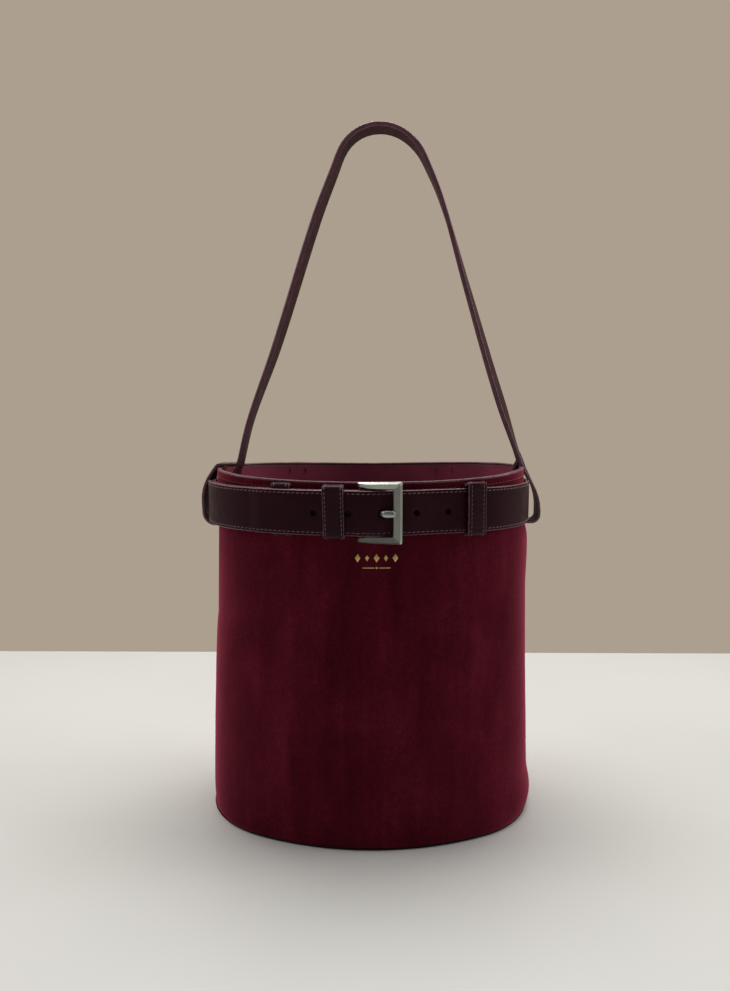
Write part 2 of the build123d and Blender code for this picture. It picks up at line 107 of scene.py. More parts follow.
# ---- the oval of the bag ----
UNIT_SIDE_R = SIDE_RATIO * DEPTH_RATIO
UNIT_SIDE_X = 1 - UNIT_SIDE_R
UNIT_BROAD_R = (UNIT_SIDE_X**2 + DEPTH_RATIO**2 - UNIT_SIDE_R**2) / (2 * (DEPTH_RATIO - UNIT_SIDE_R))
UNIT_BROAD_Y = UNIT_BROAD_R - DEPTH_RATIO
UNIT_LEAN = atan2(UNIT_SIDE_X, UNIT_BROAD_Y)
UNIT_ARCS = [
    ((0, UNIT_BROAD_Y), UNIT_BROAD_R, UNIT_BROAD_R * UNIT_LEAN),
    ((UNIT_SIDE_X, 0), UNIT_SIDE_R, UNIT_SIDE_R * (pi - 2 * UNIT_LEAN)),
    ((0, -UNIT_BROAD_Y), UNIT_BROAD_R, 2 * UNIT_BROAD_R * UNIT_LEAN),
    ((-UNIT_SIDE_X, 0), UNIT_SIDE_R, UNIT_SIDE_R * (pi - 2 * UNIT_LEAN)),
    ((0, UNIT_BROAD_Y), UNIT_BROAD_R, UNIT_BROAD_R * UNIT_LEAN),
]
UNIT_LAP = sum(arc[2] for arc in UNIT_ARCS)


def half_width_at(z):
    return BASE_HIGH.x + (RIM_HIGH.x - BASE_HIGH.x) * z / WALL_TOP


def oval_point(turn, half_width, out):
    """Plan position on the oval, and its outward heading."""
    left = (turn % 1) * UNIT_LAP
    heading = -pi / 2
    for centre, radius, length in UNIT_ARCS:
        if left <= length:
            break
        heading += length / radius
        left -= length
    heading += left / radius
    reach = half_width * radius + out
    x = half_width * centre[0] + reach * cos(heading)
    y = half_width * centre[1] + reach * sin(heading)
    return x, y, heading


BELT_HALF_WIDTH = half_width_at(BELT_LOW.z)
LAP = BELT_HALF_WIDTH * UNIT_LAP
HALF_BROAD = BELT_HALF_WIDTH * UNIT_ARCS[0][2]
SIDE_RUN = BELT_HALF_WIDTH * UNIT_ARCS[1][2]
TIP_RUN = TIP_BEFORE_SIDE - HALF_BROAD - SIDE_RUN / 2


def belt_point(run, out, z):
    x, y, heading = oval_point(run / LAP, BELT_HALF_WIDTH, out)
    return x, y, z


def ease(x):
    x = min(max(x, 0.0), 1.0)
    return x * x * (3 - 2 * x)


def between(keys, x):
    """Smooth value from a list of (place, value) keys."""
    places = [key[0] for key in keys]
    after = bisect_right(places, x)
    if after == 0:
        return keys[0][1]
    if after == len(keys):
        return keys[-1][1]
    (x0, y0), (x1, y1) = keys[after - 1], keys[after]
    return y0 + (y1 - y0) * ease((x - x0) / (x1 - x0))


def through(keys, x):
    """Value on a curve that runs smoothly through (place, value) keys."""
    places = [key[0] for key in keys]
    after = bisect_right(places, x)
    if after == 0:
        return keys[0][1]
    if after == len(keys):
        return keys[-1][1]
    (x0, y0), (x1, y1) = keys[after - 1], keys[after]
    xa, ya = keys[max(after - 2, 0)]
    xb, yb = keys[min(after + 1, len(keys) - 1)]
    span = x1 - x0
    share = (x - x0) / span
    leave = (y1 - ya) / (x1 - xa) * span
    arrive = (yb - y0) / (xb - x0) * span
    bend = share * share * (3 - 2 * share)
    return y0 + (y1 - y0) * bend + leave * share * (1 - share) ** 2 - arrive * share * share * (1 - share)


# ---- the wall: a saddle at the rim, sides that give a little, and a hand-made unevenness ----
LEFT_RISE = 2.6
RIGHT_RISE = 3.6
FRONT_RISE, FRONT_FLATNESS = -1.6, 3.0
BACK_RISE, BACK_FLATNESS = -0.25, 1.3
SADDLE_FROM = 232.0
# by height: both feet are drawn in, the left side hollows under the belt, and the right side swells there
# and just above the base
LEFT_GIVE = [(0, -3.0), (20, -1.2), (140, -1.2), (170, -3.5), (210, -3.5), (256, 0.0)]
RIGHT_GIVE = [(0, -2.0), (14, 1.3), (34, -1.0), (170, -0.2), (213, 1.7), (226, -0.2), (262, -0.2)]
WOBBLE = 0.5
BELT_ZONE_MARGIN = 22.0


def wall_rise(turn, z):
    """How much the rim stands above or below its even height."""
    x, y, heading = oval_point(turn, 1.0, 0)
    middle, flatness = (FRONT_RISE, FRONT_FLATNESS) if y < 0 else (BACK_RISE, BACK_FLATNESS)
    side = RIGHT_RISE if x > 0 else LEFT_RISE
    rise = middle + (side - middle) * abs(x) ** flatness
    return rise * ease((z - SADDLE_FROM) / (HEIGHT - SADDLE_FROM))


def wall_give(heading, z):
    """How far the sides of the wall swell or sink from the even oval."""
    facing = cos(heading)
    return through(RIGHT_GIVE if facing > 0 else LEFT_GIVE, z) * facing * facing


def wall_wobble(turn, z):
    """Soft hollows and swells of the suede, none where the belt lies."""
    x, y, heading = oval_point(turn, 1.0, 0)
    broad = uneven(2.1 * x + 3.7, 2.1 * y, z / 75)
    fine = uneven(6.0 * x, 6.0 * y + 9.1, z / 24)
    clear = ease((BELT_LOW.z - z) / BELT_ZONE_MARGIN)
    low = ease(z / BELT_ZONE_MARGIN)
    return (WOBBLE * broad + 0.22 * WOBBLE * fine) * clear * (0.25 + 0.75 * low)


def wall_point(turn, z, out):
    x, y, heading = oval_point(turn, half_width_at(z), out)
    give = wall_give(heading, z)
    return x + give * cos(heading), y + give * sin(heading), z + wall_rise(turn, z)


# ---- mesh making ----
class Shape:
    """Points in millimetres, and faces that each carry the index of their look."""

    def __init__(self):
        self.points = []
        self.faces = []
        self.looks = []

    def ring(self, points):
        first = len(self.points)
        self.points += points
        return list(range(first, len(self.points)))

    def face(self, corners, look=0):
        self.faces.append(corners)
        self.looks.append(look)

    def skin(self, a, b, looks=0, closed=True):
        """Quads between two rings of the same length."""
        count = len(a)
        for k in range(count if closed else count - 1):
            m = (k + 1) % count
            look = looks if isinstance(looks, int) else looks[k]
            self.face((a[k], a[m], b[m], b[k]), look)

    def cap(self, ring, look=0):
        """Close a ring with a fan about its middle."""
        middle = [sum(self.points[i][axis] for i in ring) / len(ring) for axis in range(3)]
        centre = self.ring([tuple(middle)])[0]
        for k in range(len(ring)):
            self.face((ring[k], ring[(k + 1) % len(ring)], centre), look)

    def loft(self, rings, looks=0, closed=False, cap_look=0):
        made = [self.ring(ring) for ring in rings]
        for a, b in zip(made, made[1:]):
            self.skin(a, b, looks)
        if closed:
            self.skin(made[-1], made[0], looks)
        else:
            self.cap(made[0], cap_look)
            self.cap(made[-1], cap_look)
        return made

    def build(self, name, looks, sharp=38):
        mesh = bpy.data.meshes.new(name)
        mesh.from_pydata([(x * MM, y * MM, z * MM) for x, y, z in self.points], [], self.faces)
        mesh.polygons.foreach_set("material_index", self.looks)
        work = bmesh.new()
        work.from_mesh(mesh)
        bmesh.ops.recalc_face_normals(work, faces=work.faces)
        work.to_mesh(mesh)
        work.free()
        mesh.polygons.foreach_set("use_smooth", [True] * len(mesh.polygons))
        mesh.set_sharp_from_angle(angle=radians(sharp))
        for look in looks:
            mesh.materials.append(look)
        piece = bpy.data.objects.new(name, mesh)
        bpy.context.scene.collection.objects.link(piece)
        return piece


def settle(piece, body, slot, *replaced):
    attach(piece, body)
    if replaced:
        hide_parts(*replaced)
    return piece


class Route:
    """A line of straight runs and tangent arcs in a plane, measured along its length."""

    STRAIGHT_STEP = 2.0
    ARC_STEP = radians(9)

    def __init__(self, corners, radii, closed=False):
        self.points = []
        self.headings = []
        count = len(corners)
        picks = range(count) if closed else range(1, count - 1)
        arcs = []
        for i, radius in zip(picks, radii):
            arcs.append(self.arc(corners[i - 1], corners[i], corners[(i + 1) % count], radius))
        if not closed:
            self.add(corners[0], self.heading(corners[0], corners[1]))
        for start, turn_from, turn, centre, radius in arcs:
            self.straight_to(start, turn_from)
            steps = max(2, int(abs(turn) / self.ARC_STEP) + 1)
            side = 1 if turn > 0 else -1
            for k in range(1, steps + 1):
                heading = turn_from + turn * k / steps
                x = centre[0] + side * radius * sin(heading)
                y = centre[1] - side * radius * cos(heading)
                self.add((x, y), heading)
        if closed:
            self.straight_to(self.points[0], self.headings[0])
        else:
            self.straight_to(corners[-1], self.heading(corners[-2], corners[-1]))
        self.marks = [0.0]
        for a, b in zip(self.points, self.points[1:]):
            self.marks.append(self.marks[-1] + hypot(b[0] - a[0], b[1] - a[1]))
        self.length = self.marks[-1]

    @staticmethod
    def heading(a, b):
        return atan2(b[1] - a[1], b[0] - a[0])

    def arc(self, before, corner, after, radius):
        into = self.heading(before, corner)
        onto = self.heading(corner, after)
        turn = (onto - into + pi) % (2 * pi) - pi
        reach = radius * abs(tan(turn / 2))
        start = (corner[0] - reach * cos(into), corner[1] - reach * sin(into))
        side = 1 if turn > 0 else -1
        centre = (start[0] - side * radius * sin(into), start[1] + side * radius * cos(into))
        return start, into, turn, centre, radius

    def add(self, point, heading):
        self.points.append(point)
        self.headings.append(heading)

    def straight_to(self, point, heading):
        if not self.points:
            self.add(point, heading)
            return
        last = self.points[-1]
        gap = hypot(point[0] - last[0], point[1] - last[1])
        if gap < 1e-6:
            return
        steps = max(1, int(gap / self.STRAIGHT_STEP))
        for k in range(1, steps + 1):
            share = k / steps
            x = last[0] + (point[0] - last[0]) * share
            y = last[1] + (point[1] - last[1]) * share
            self.add((x, y), heading)

    def at(self, s):
        """Position and heading at a distance along the line."""
        i = min(max(bisect_right(self.marks, s) - 1, 0), len(self.marks) - 2)
        span = self.marks[i + 1] - self.marks[i]
        share = (s - self.marks[i]) / span
        (x0, y0), (x1, y1) = self.points[i], self.points[i + 1]
        turn = (self.headings[i + 1] - self.headings[i] + pi) % (2 * pi) - pi
        return x0 + (x1 - x0) * share, y0 + (y1 - y0) * share, self.headings[i] + turn * share


# ---- leather strips ----
# The third look is painted shade: near-black walls inside the belt's holes.
FACE, EDGE, HOLE_SHADE = 0, 1, 2
EDGE_STEPS = [60, 30, 0, -30, -60]
STITCH_DIP = 0.16


class Strip:
    """Section of a stitched leather strip with a crowned face and domed, painted edges."""

    def __init__(self, width, thick, inset, rows=(), edge=0.55, crown=0.12, dip=STITCH_DIP):
        half = width / 2
        self.width = width
        self.thick = thick
        self.seam = half - inset
        flat = half - edge
        wanted = {flat, self.seam - 0.45, self.seam, self.seam + 0.45, *rows}
        if self.seam - 1.2 > 0:
            wanted.add(self.seam - 1.2)
        across = sorted({-v for v in wanted} | wanted | {0.0})
        self.across = across
        top = [(v, thick + crown * (1 - (v / half) ** 2) - self.groove(v, dip)) for v in across]
        bottom = [(v, 0.0) for v in reversed(across)]
        right = [(flat + edge * cos(radians(a)), thick / 2 + thick / 2 * sin(radians(a))) for a in EDGE_STEPS]
        left = [(-v, thick - w) for v, w in right]
        self.outline = top + right + bottom + left
        faces = [FACE] * (len(across) - 1)
        edges = [EDGE] * (len(EDGE_STEPS) + 1)
        self.looks = faces + edges + faces + edges

    def groove(self, v, dip):
        return dip * exp(-(((abs(v) - self.seam) / 0.4) ** 2))

    def top_index(self, row):
        return row

    def bottom_index(self, row):
        return len(self.across) + len(EDGE_STEPS) + len(self.across) - 1 - row


HOLE_CELLS = 8
HOLE_LEVELS = [(1.45, -0.02), (1.14, -0.10), (1.0, -0.34)]


def sweep_strip(shape, strip, stations, place, holes=(), closed=False):
    """Carry a strip's section along its stations.

    A hole is (middle, reach, along, across, top_shift, low_shift).
    """
    rings = []
    for s in stations:
        rings.append(shape.ring([place(s, v, w) for v, w in strip.outline]))
    blocks = [hole_block(strip, stations, hole) for hole in holes]
    count = len(strip.outline)
    spans = len(rings) if closed else len(rings) - 1
    for i in range(spans):
        a = rings[i]
        b = rings[(i + 1) % len(rings)]
        for k in range(count):
            if any(in_block(strip, block, i, k) for block in blocks):
                continue
            m = (k + 1) % count
            shape.face((a[k], a[m], b[m], b[k]), strip.looks[k])
    for hole, block in zip(holes, blocks):
        cut_hole(shape, strip, rings, stations, place, hole, block)
    if not closed:
        for ring in (rings[0], rings[-1]):
            shape.cap(ring, EDGE)
    return rings


def hole_block(strip, stations, hole):
    """First station and first row of the patch of cells that a hole takes out."""
    start = min(range(len(stations)), key=lambda i: abs(stations[i] - (hole[0] - hole[1])))
    row = min(range(len(strip.across)), key=lambda j: abs(strip.across[j] + HOLE_CELLS / 2))
    return start, row


def in_block(strip, block, i, k):
    start, row = block
    if not start <= i < start + HOLE_CELLS:
        return False
    low = strip.bottom_index(row + HOLE_CELLS)
    return row <= k < row + HOLE_CELLS or low <= k < low + HOLE_CELLS


def block_border(block):
    start, row = block
    n = HOLE_CELLS
    border = [(start + k, row) for k in range(n)]
    border += [(start + n, row + k) for k in range(n)]
    border += [(start + n - k, row + n) for k in range(n)]
    border += [(start, row + n - k) for k in range(n)]
    return border


def cut_hole(shape, strip, rings, stations, place, hole, block):
    middle, reach, along, across, top_shift, low_shift = hole
    border = block_border(block)
    angles = [atan2(strip.across[j], stations[i] - middle) for i, j in border]
    loops = []
    for shift, index, level in (
        (top_shift, strip.top_index, lambda drop: strip.thick + drop),
        (low_shift, strip.bottom_index, lambda drop: -drop),
    ):
        side = [[rings[i][index(j)] for i, j in border]]
        for scale, drop in HOLE_LEVELS:
            points = []
            for angle in angles:
                s = middle + shift + along * scale * cos(angle)
                points.append(place(s, across * scale * sin(angle), level(drop)))
            side.append(shape.ring(points))
        # The innermost step of the funnel and the hole's wall carry the painted shade look.
        for a, b in zip(side, side[1:]):
            shape.skin(a, b, HOLE_SHADE if b is side[-1] else FACE)
        loops.append(side[-1])
    shape.skin(loops[0], loops[1], HOLE_SHADE)


def stations_with(start, end, step, blocks):
    """Even stations, with each hole's own patch of eight cells among them."""
    found = []
    s = start
    for middle, reach in sorted(blocks):
        low = middle - reach
        count = max(1, round((low - s) / step))
        found += [s + (low - s) * k / count for k in range(count)]
        found += [low + 2 * reach * k / HOLE_CELLS for k in range(HOLE_CELLS)]
        s = middle + reach
    count = max(1, round((end - s) / step))
    return found + [s + (end - s) * k / count for k in range(count + 1)]


# ---- thread ----
THREAD_SIDES = 7
THREAD_PROFILE = [(-1.0, 0.35), (-0.82, 0.8), (-0.4, 1.0), (0.4, 1.0), (0.82, 0.8), (1.0, 0.35)]


def stitch(shape, place, s, v, w, length, thick, slant):
    """One stitch: a short plump length of thread, ends sunk into the leather."""
    rings = []
    for along, plump in THREAD_PROFILE:
        radius = thick / 2 * plump
        lift = w + thick * (0.30 - 0.55 * along**4)
        ring = []
        for k in range(THREAD_SIDES):
            angle = 2 * pi * k / THREAD_SIDES
            across = v + slant * along + radius * cos(angle)
            ring.append(place(s + along * length / 2, across, lift + radius * sin(angle)))
        rings.append(ring)
    shape.loft(rings)


def stitch_line(shape, place, start, end, v, w, pitch, thick=0.62, slant=0.2, share=0.74):
    count = max(1, int((end - start) / pitch))
    step = (end - start) / count
    for k in range(count):
        stitch(shape, place, start + (k + 0.5) * step, v, w, step * share, thick, slant)


# ---- materials ----
class Look:
    """A node material with a few shorthands."""

    def __init__(self, name, roughness, metallic=0.0, **sockets):
        self.material = bpy.data.materials.new(name)
        self.material.use_nodes = True
        self.tree = self.material.node_tree
        self.shader = self.tree.nodes["Principled BSDF"]
        self.shader.inputs["Roughness"].default_value = roughness
        self.shader.inputs["Metallic"].default_value = metallic
        for socket, value in sockets.items():
            self.shader.inputs[socket.replace("_", " ")].default_value = value
        self.place = self.tree.nodes.new("ShaderNodeTexCoord").outputs["Object"]

    def link(self, a, b):
        self.tree.links.new(a, b)

    def scaled(self, scale):
        node = self.tree.nodes.new("ShaderNodeMapping")
        node.inputs["Scale"].default_value = scale
        self.link(self.place, node.inputs["Vector"])
        return node.outputs["Vector"]

    def noise(self, scale, detail=2.0, rough=0.5, stretch=(1, 1, 1), distortion=0.0):
        node = self.tree.nodes.new("ShaderNodeTexNoise")
        node.inputs["Scale"].default_value = scale
        node.inputs["Detail"].default_value = detail
        node.inputs["Roughness"].default_value = rough
        node.inputs["Distortion"].default_value = distortion
        self.link(self.scaled(stretch), node.inputs["Vector"])
        return node.outputs["Fac"]

    def cells(self, scale, feature="DISTANCE_TO_EDGE"):
        node = self.tree.nodes.new("ShaderNodeTexVoronoi")
        node.feature = feature
        node.inputs["Scale"].default_value = scale
        self.link(self.place, node.inputs["Vector"])
        return node.outputs["Distance"]

    def ramp(self, value, stops):
        node = self.tree.nodes.new("ShaderNodeValToRGB")
        while len(node.color_ramp.elements) < len(stops):
            node.color_ramp.elements.new(0.5)
        for element, (place, colour) in zip(node.color_ramp.elements, stops):
            element.position = place
            element.color = (*colour, 1.0)
        self.link(value, node.inputs["Fac"])
        return node.outputs["Color"]

    def span(self, value, low, high, to_low, to_high):
        node = self.tree.nodes.new("ShaderNodeMapRange")
        for socket, number in zip(("From Min", "From Max", "To Min", "To Max"), (low, high, to_low, to_high)):
            node.inputs[socket].default_value = number
        self.link(value, node.inputs["Value"])
        return node.outputs["Result"]

    def math(self, operation, a, b):
        node = self.tree.nodes.new("ShaderNodeMath")
        node.operation = operation
        for socket, value in zip(node.inputs, (a, b)):
            if isinstance(value, (int, float)):
                socket.default_value = value
            else:
                self.link(value, socket)
        return node.outputs["Value"]

    def blend(self, kind, share, a, b):
        node = self.tree.nodes.new("ShaderNodeMix")
        node.data_type = "RGBA"
        node.blend_type = kind
        if isinstance(share, (int, float)):
            node.inputs["Factor"].default_value = share
        else:
            self.link(share, node.inputs["Factor"])
        colours = [socket for socket in node.inputs if socket.type == "RGBA"]
        for socket, value in zip(colours, (a, b)):
            if isinstance(value, tuple):
                socket.default_value = (*value, 1.0)
            else:
                self.link(value, socket)
        return [socket for socket in node.outputs if socket.type == "RGBA"][0]

    def bump(self, height, strength, distance, under=None):
        node = self.tree.nodes.new("ShaderNodeBump")
        node.inputs["Strength"].default_value = strength
        node.inputs["Distance"].default_value = distance
        self.link(height, node.inputs["Height"])
        if under is not None:
            self.link(under, node.inputs["Normal"])
        return node.outputs["Normal"]

    def finish(self, colour=None, roughness=None, normal=None):
        for socket, value in (("Base Color", colour), ("Roughness", roughness), ("Normal", normal)):
            if isinstance(value, tuple):
                self.shader.inputs[socket].default_value = (*value, 1.0)
            elif value is not None:
                self.link(value, self.shader.inputs[socket])
        return self.material


def suede_look():
    look = Look("burgundy_suede", 0.95, Sheen_Weight=0.95, Sheen_Roughness=0.36)
    look.shader.inputs["Sheen Tint"].default_value = (0.62, 0.10, 0.17, 1.0)
    look.shader.inputs["Specular IOR Level"].default_value = 0.05
    clouds = look.noise(24, 5, 0.62, (1, 1, 0.62), 0.6)
    streaks = look.noise(60, 4, 0.6, (1.0, 1.0, 0.10), 0.5)
    fibre = look.noise(2300, 3, 0.7)
    tufts = look.noise(520, 3, 0.65)
    tone = look.math("ADD", look.math("MULTIPLY", clouds, 0.62), look.math("MULTIPLY", streaks, 0.38))
    broad = look.ramp(tone, [(0.34, (0.058, 0.0032, 0.0090)), (0.52, (0.092, 0.0058, 0.0152)),
                             (0.70, (0.134, 0.0108, 0.0258))])
    pile = look.math("ADD", look.math("MULTIPLY", fibre, 0.6), look.math("MULTIPLY", tufts, 0.4))
    nap = look.ramp(pile, [(0.36, (0.58, 0.52, 0.54)), (0.64, (1.36, 1.40, 1.38))])
    colour = look.blend("MULTIPLY", 1.0, broad, nap)
    normal = look.bump(tufts, 0.35, 0.00035)
    normal = look.bump(fibre, 0.5, 0.00016, normal)
    return look.finish(colour, None, normal)


def leather_look(name, dark, light, roughness, grain=0.5, shine=0.16):
    look = Look(name, roughness, Coat_Weight=0.0)
    look.shader.inputs["Specular IOR Level"].default_value = shine
    patches = look.noise(38, 4, 0.6)
    colour = look.ramp(patches, [(0.3, dark), (0.7, light)])
    pores = look.cells(1500)
    fine = look.noise(900, 3, 0.6)
    creases = look.noise(140, 4, 0.62, (1, 1, 0.35), 1.2)
    rough = look.span(look.noise(210, 3), 0.3, 0.7, roughness - 0.07, roughness + 0.08)
    normal = look.bump(creases, 0.10 * grain, 0.0004)
    normal = look.bump(pores, 0.22 * grain, 0.00010, normal)
    normal = look.bump(fine, 0.25 * grain, 0.00008, normal)
    return look.finish(colour, rough, normal)


def edge_look():
    look = Look("painted_edge", 0.26, Coat_Weight=0.0)
    look.shader.inputs["Specular IOR Level"].default_value = 0.5
    tone = look.noise(120, 3, 0.6)
    colour = look.ramp(tone, [(0.3, (0.110, 0.038, 0.058)), (0.7, (0.160, 0.062, 0.086))])
    normal = look.bump(look.noise(420, 2), 0.2, 0.0002)
    rough = look.span(look.noise(300, 3), 0.3, 0.7, 0.22, 0.36)
    return look.finish(colour, rough, normal)


# Painted shade: near-black colour on the walls inside the belt's holes, standing in for the shade down in
# them.
def painted_hole_shade_look():
    look = Look("painted_shade_in_holes", 0.8)
    look.shader.inputs["Specular IOR Level"].default_value = 0.1
    shade_speckle = look.noise(800, 2)
    return look.finish(look.ramp(shade_speckle, [(0.3, (0.0008, 0.0006, 0.0007)), (0.7, (0.0020, 0.0014, 0.0016))]))


def thread_look(name, dark, light):
    look = Look(name, 0.62, Sheen_Weight=0.3, Sheen_Roughness=0.5)
    tone = look.noise(700, 2)
    colour = look.ramp(tone, [(0.3, dark), (0.7, light)])
    normal = look.bump(look.noise(2600, 2, 0.6, (1, 1, 0.4)), 0.6, 0.00012)
    return look.finish(colour, None, normal)


def metal_look(name, dark, light):
    look = Look(name, 0.34, 1.0)
    tone = look.noise(220, 3)
    colour = look.ramp(tone, [(0.3, dark), (0.7, light)])
    brushed = look.noise(1600, 3, 0.6, (0.12, 1, 1))
    rough = look.span(brushed, 0.3, 0.7, 0.31, 0.37)
    return look.finish(colour, rough, look.bump(brushed, 0.01, 0.00002))


def foil_look():
    look = Look("gold_foil", 0.34, 1.0)
    flaws = look.noise(900, 3, 0.6)
    colour = look.ramp(flaws, [(0.3, (0.55, 0.33, 0.10)), (0.65, (0.86, 0.62, 0.26))])
    return look.finish(colour, look.span(flaws, 0.3, 0.7, 0.26, 0.5), look.bump(flaws, 0.3, 0.00005))


def cloth_look():
    """Woven lining: fine warp and weft round the wall and up it."""
    look = Look("lining_twill", 0.82, Sheen_Weight=0.35, Sheen_Roughness=0.5)
    split = look.tree.nodes.new("ShaderNodeSeparateXYZ")
    look.link(look.place, split.inputs["Vector"])
    lap_threads = 620
    threads_per_metre = 1150
    bearing = look.math("ARCTAN2", split.outputs["Y"], split.outputs["X"])
    warp = look.math("SINE", look.math("MULTIPLY", bearing, lap_threads), 0.0)
    weft = look.math("SINE", look.math("MULTIPLY", split.outputs["Z"], 2 * pi * threads_per_metre), 0.0)
    weave = look.span(look.math("MULTIPLY", warp, weft), -1.0, 1.0, 0.0, 1.0)
    base = look.ramp(look.noise(40, 4), [(0.3, (0.050, 0.010, 0.016)), (0.7, (0.072, 0.016, 0.024))])
    shade = look.ramp(weave, [(0.0, (0.72, 0.72, 0.72)), (1.0, (1.15, 1.15, 1.15))])
    colour = look.blend("MULTIPLY", 1.0, base, shade)
    return look.finish(colour, None, look.bump(weave, 0.3, 0.0001))


def board_look():
    look = Look("leatherboard", 0.9)
    flecks = look.noise(900, 4, 0.7)
    colour = look.ramp(flecks, [(0.35, (0.16, 0.10, 0.06)), (0.65, (0.30, 0.21, 0.14))])
    return look.finish(colour, None, look.bump(flecks, 0.4, 0.0002))


def floor_look():
    look = Look("pale_floor", 0.38)
    colour = look.ramp(look.noise(3, 3), [(0.35, (0.640, 0.648, 0.630)), (0.65, (0.668, 0.676, 0.658))])
    return look.finish(colour)


suede = suede_look()
belt_leather = leather_look("aubergine_leather", (0.0215, 0.0034, 0.0074), (0.0300, 0.0056, 0.0112),
                            0.42, shine=0.09)
keeper_leather = leather_look("keeper_leather", (0.0215, 0.0040, 0.0084), (0.0300, 0.0064, 0.0124),
                              0.32, shine=0.15)
facing_leather = leather_look("facing_leather", (0.225, 0.0360, 0.0720), (0.305, 0.0540, 0.0990),
                              0.50, 0.7, 0.20)
strap_leather = leather_look("strap_leather", (0.038, 0.0125, 0.0160), (0.054, 0.0190, 0.0230),
                             0.50, shine=0.07)
edge_paint = edge_look()
hole_shade_material = painted_hole_shade_look()
dark_welt = leather_look("welt_leather", (0.0030, 0.0012, 0.0018), (0.0060, 0.0022, 0.0032), 0.6)
mauve_thread = thread_look("mauve_thread", (0.100, 0.045, 0.062), (0.165, 0.085, 0.108))
tonal_thread = thread_look("tonal_thread", (0.080, 0.0080, 0.0190), (0.115, 0.0150, 0.0310))
dark_thread = thread_look("dark_thread", (0.0060, 0.0020, 0.0030), (0.0120, 0.0040, 0.0060))
metal = metal_look("satin_buckle_metal", (0.37, 0.400, 0.355), (0.41, 0.440, 0.395))
# Painted shade: the bar's metal is near-black, standing in for the shade it lies in under the tongue and the
# arms.
shaded_bar_metal = metal_look("painted_shade_bar_metal", (0.040, 0.042, 0.040), (0.060, 0.063, 0.060))
foil = foil_look()
cloth = cloth_look()
board = board_look()


# ---- suede panels ----
TOPSTITCH_DOWN = 4.2
SEAM_ROLL = 0.9
BASE_ROLL_LOW = 0.9
BASE_ROLL_RISE = 4.6
BASE_ROLL_IN = 1.7
ROLL_BACK = 2.4
SEAM_PITCH = 3.4
PANEL_COLUMNS = 250
PANEL_ROWS = 96


def panel_heights():
    """Heights of the rows, closer together at the base and at the top stitching."""
    low = BASE_ROLL_LOW + BASE_ROLL_RISE
    stitched = WALL_TOP - TOPSTITCH_DOWN
    rows = [low + (stitched - 3 - low) * k / PANEL_ROWS for k in range(PANEL_ROWS)]
    rows += [stitched + step for step in (-3, -2, -1.2, -0.6, 0, 0.6, 1.2, 2, 3, 3.8)]
    return rows


def suede_out(turn, z):
    """Outer face of the suede: unevenness, and a soft hollow along the top stitching."""
    hollow = 0.05 * exp(-(((z - (WALL_TOP - TOPSTITCH_DOWN)) / 0.8) ** 2))
    return wall_wobble(turn, z) - hollow


def seam_drop(distance):
    """How far a panel rolls inward near its side seam."""
    if distance >= SEAM_ROLL:
        return 0.0
    return SEAM_ROLL * (1 - sqrt(max(0.0, 1 - (1 - distance / SEAM_ROLL) ** 2)))


def suede_panel(name, node, middle_turn):
    shape = Shape()
    heights = panel_heights()
    quarter_run = LAP / 4
    ends = [0.0, 0.06, 0.2, 0.45, SEAM_ROLL]
    offsets = [-quarter_run + gap for gap in ends]
    flat_run = 2 * quarter_run - 2 * SEAM_ROLL
    offsets += [-quarter_run + SEAM_ROLL + flat_run * k / PANEL_COLUMNS for k in range(1, PANEL_COLUMNS)]
    offsets += [quarter_run - gap for gap in reversed(ends)]
    rings = []
    for offset in offsets:
        turn = middle_turn + offset / LAP
        drop = seam_drop(quarter_run - abs(offset))
        ring = []
        for angle in (90, 75, 60, 45, 30, 15):
            roll = radians(angle)
            z = BASE_ROLL_LOW + BASE_ROLL_RISE * (1 - sin(roll))
            ring.append(wall_point(turn, z, -BASE_ROLL_IN * (1 - cos(roll)) - drop))
        ring += [wall_point(turn, z, suede_out(turn, z) - drop) for z in heights]
        ring.append(wall_point(turn, WALL_TOP - 0.1, -0.25 - drop))
        ring.append(wall_point(turn, WALL_TOP, -0.7 - drop * 0.5))
        for z in (WALL_TOP, HEIGHT / 2, BASE_ROLL_LOW + 2):
            ring.append(wall_point(turn, z, -SUEDE))
        ring.append(wall_point(turn, BASE_ROLL_LOW, -ROLL_BACK))
        rings.append(ring)
    shape.loft(rings)
    return settle(shape.build(name, [suede], 50), "bag", "suede", node)


def wall_shell(name, low, high, out, thick, look, slot, node, dents=0.0, columns=200, rows=8):
    """A closed layer of the wall, with optional soft dents on its inner face."""
    shape = Shape()
    rings = []
    for column in range(columns):
        turn = column / columns
        ring = []
        for k in range(rows + 1):
            ring.append(wall_point(turn, low + (high - low) * k / rows, out))
        for k in range(rows, -1, -1):
            z = low + (high - low) * k / rows
            x, y, heading = oval_point(turn, 1.0, 0)
            dent = dents * (0.5 + 0.5 * uneven(4 * x, 4 * y, z / 60))
            dent *= sin(pi * k / rows)
            ring.append(wall_point(turn, z, out - thick - dent))
        rings.append(ring)
    shape.loft(rings, closed=True)
    return settle(shape.build(name, [look], 50), "bag", slot, node)


def rim_bead():
    """The painted edge over suede, stiffener and facing."""
    shape = Shape()
    profile = [(-0.5, -1.6), (-0.10, -1.2), (-0.02, -0.75), (-0.22, -0.25), (-0.75, 0.02), (-1.8, 0.10),
               (-2.8, 0.02), (-3.35, -0.25), (-3.58, -0.75), (-3.52, -1.2), (-3.1, -1.6), (-1.8, -1.8)]
    rings = []
    columns = 360
    for column in range(columns):
        turn = column / columns
        x, y, heading = oval_point(turn, 1.0, 0)
        waver = 0.10 * uneven(14 * x, 14 * y, 2.0)
        rings.append([wall_point(turn, HEIGHT + rise + waver, out) for out, rise in profile])
    shape.loft(rings, closed=True)
    return settle(shape.build("rim_edge_bead", [edge_paint]), "bag", "edge_paint", "rim_edge")


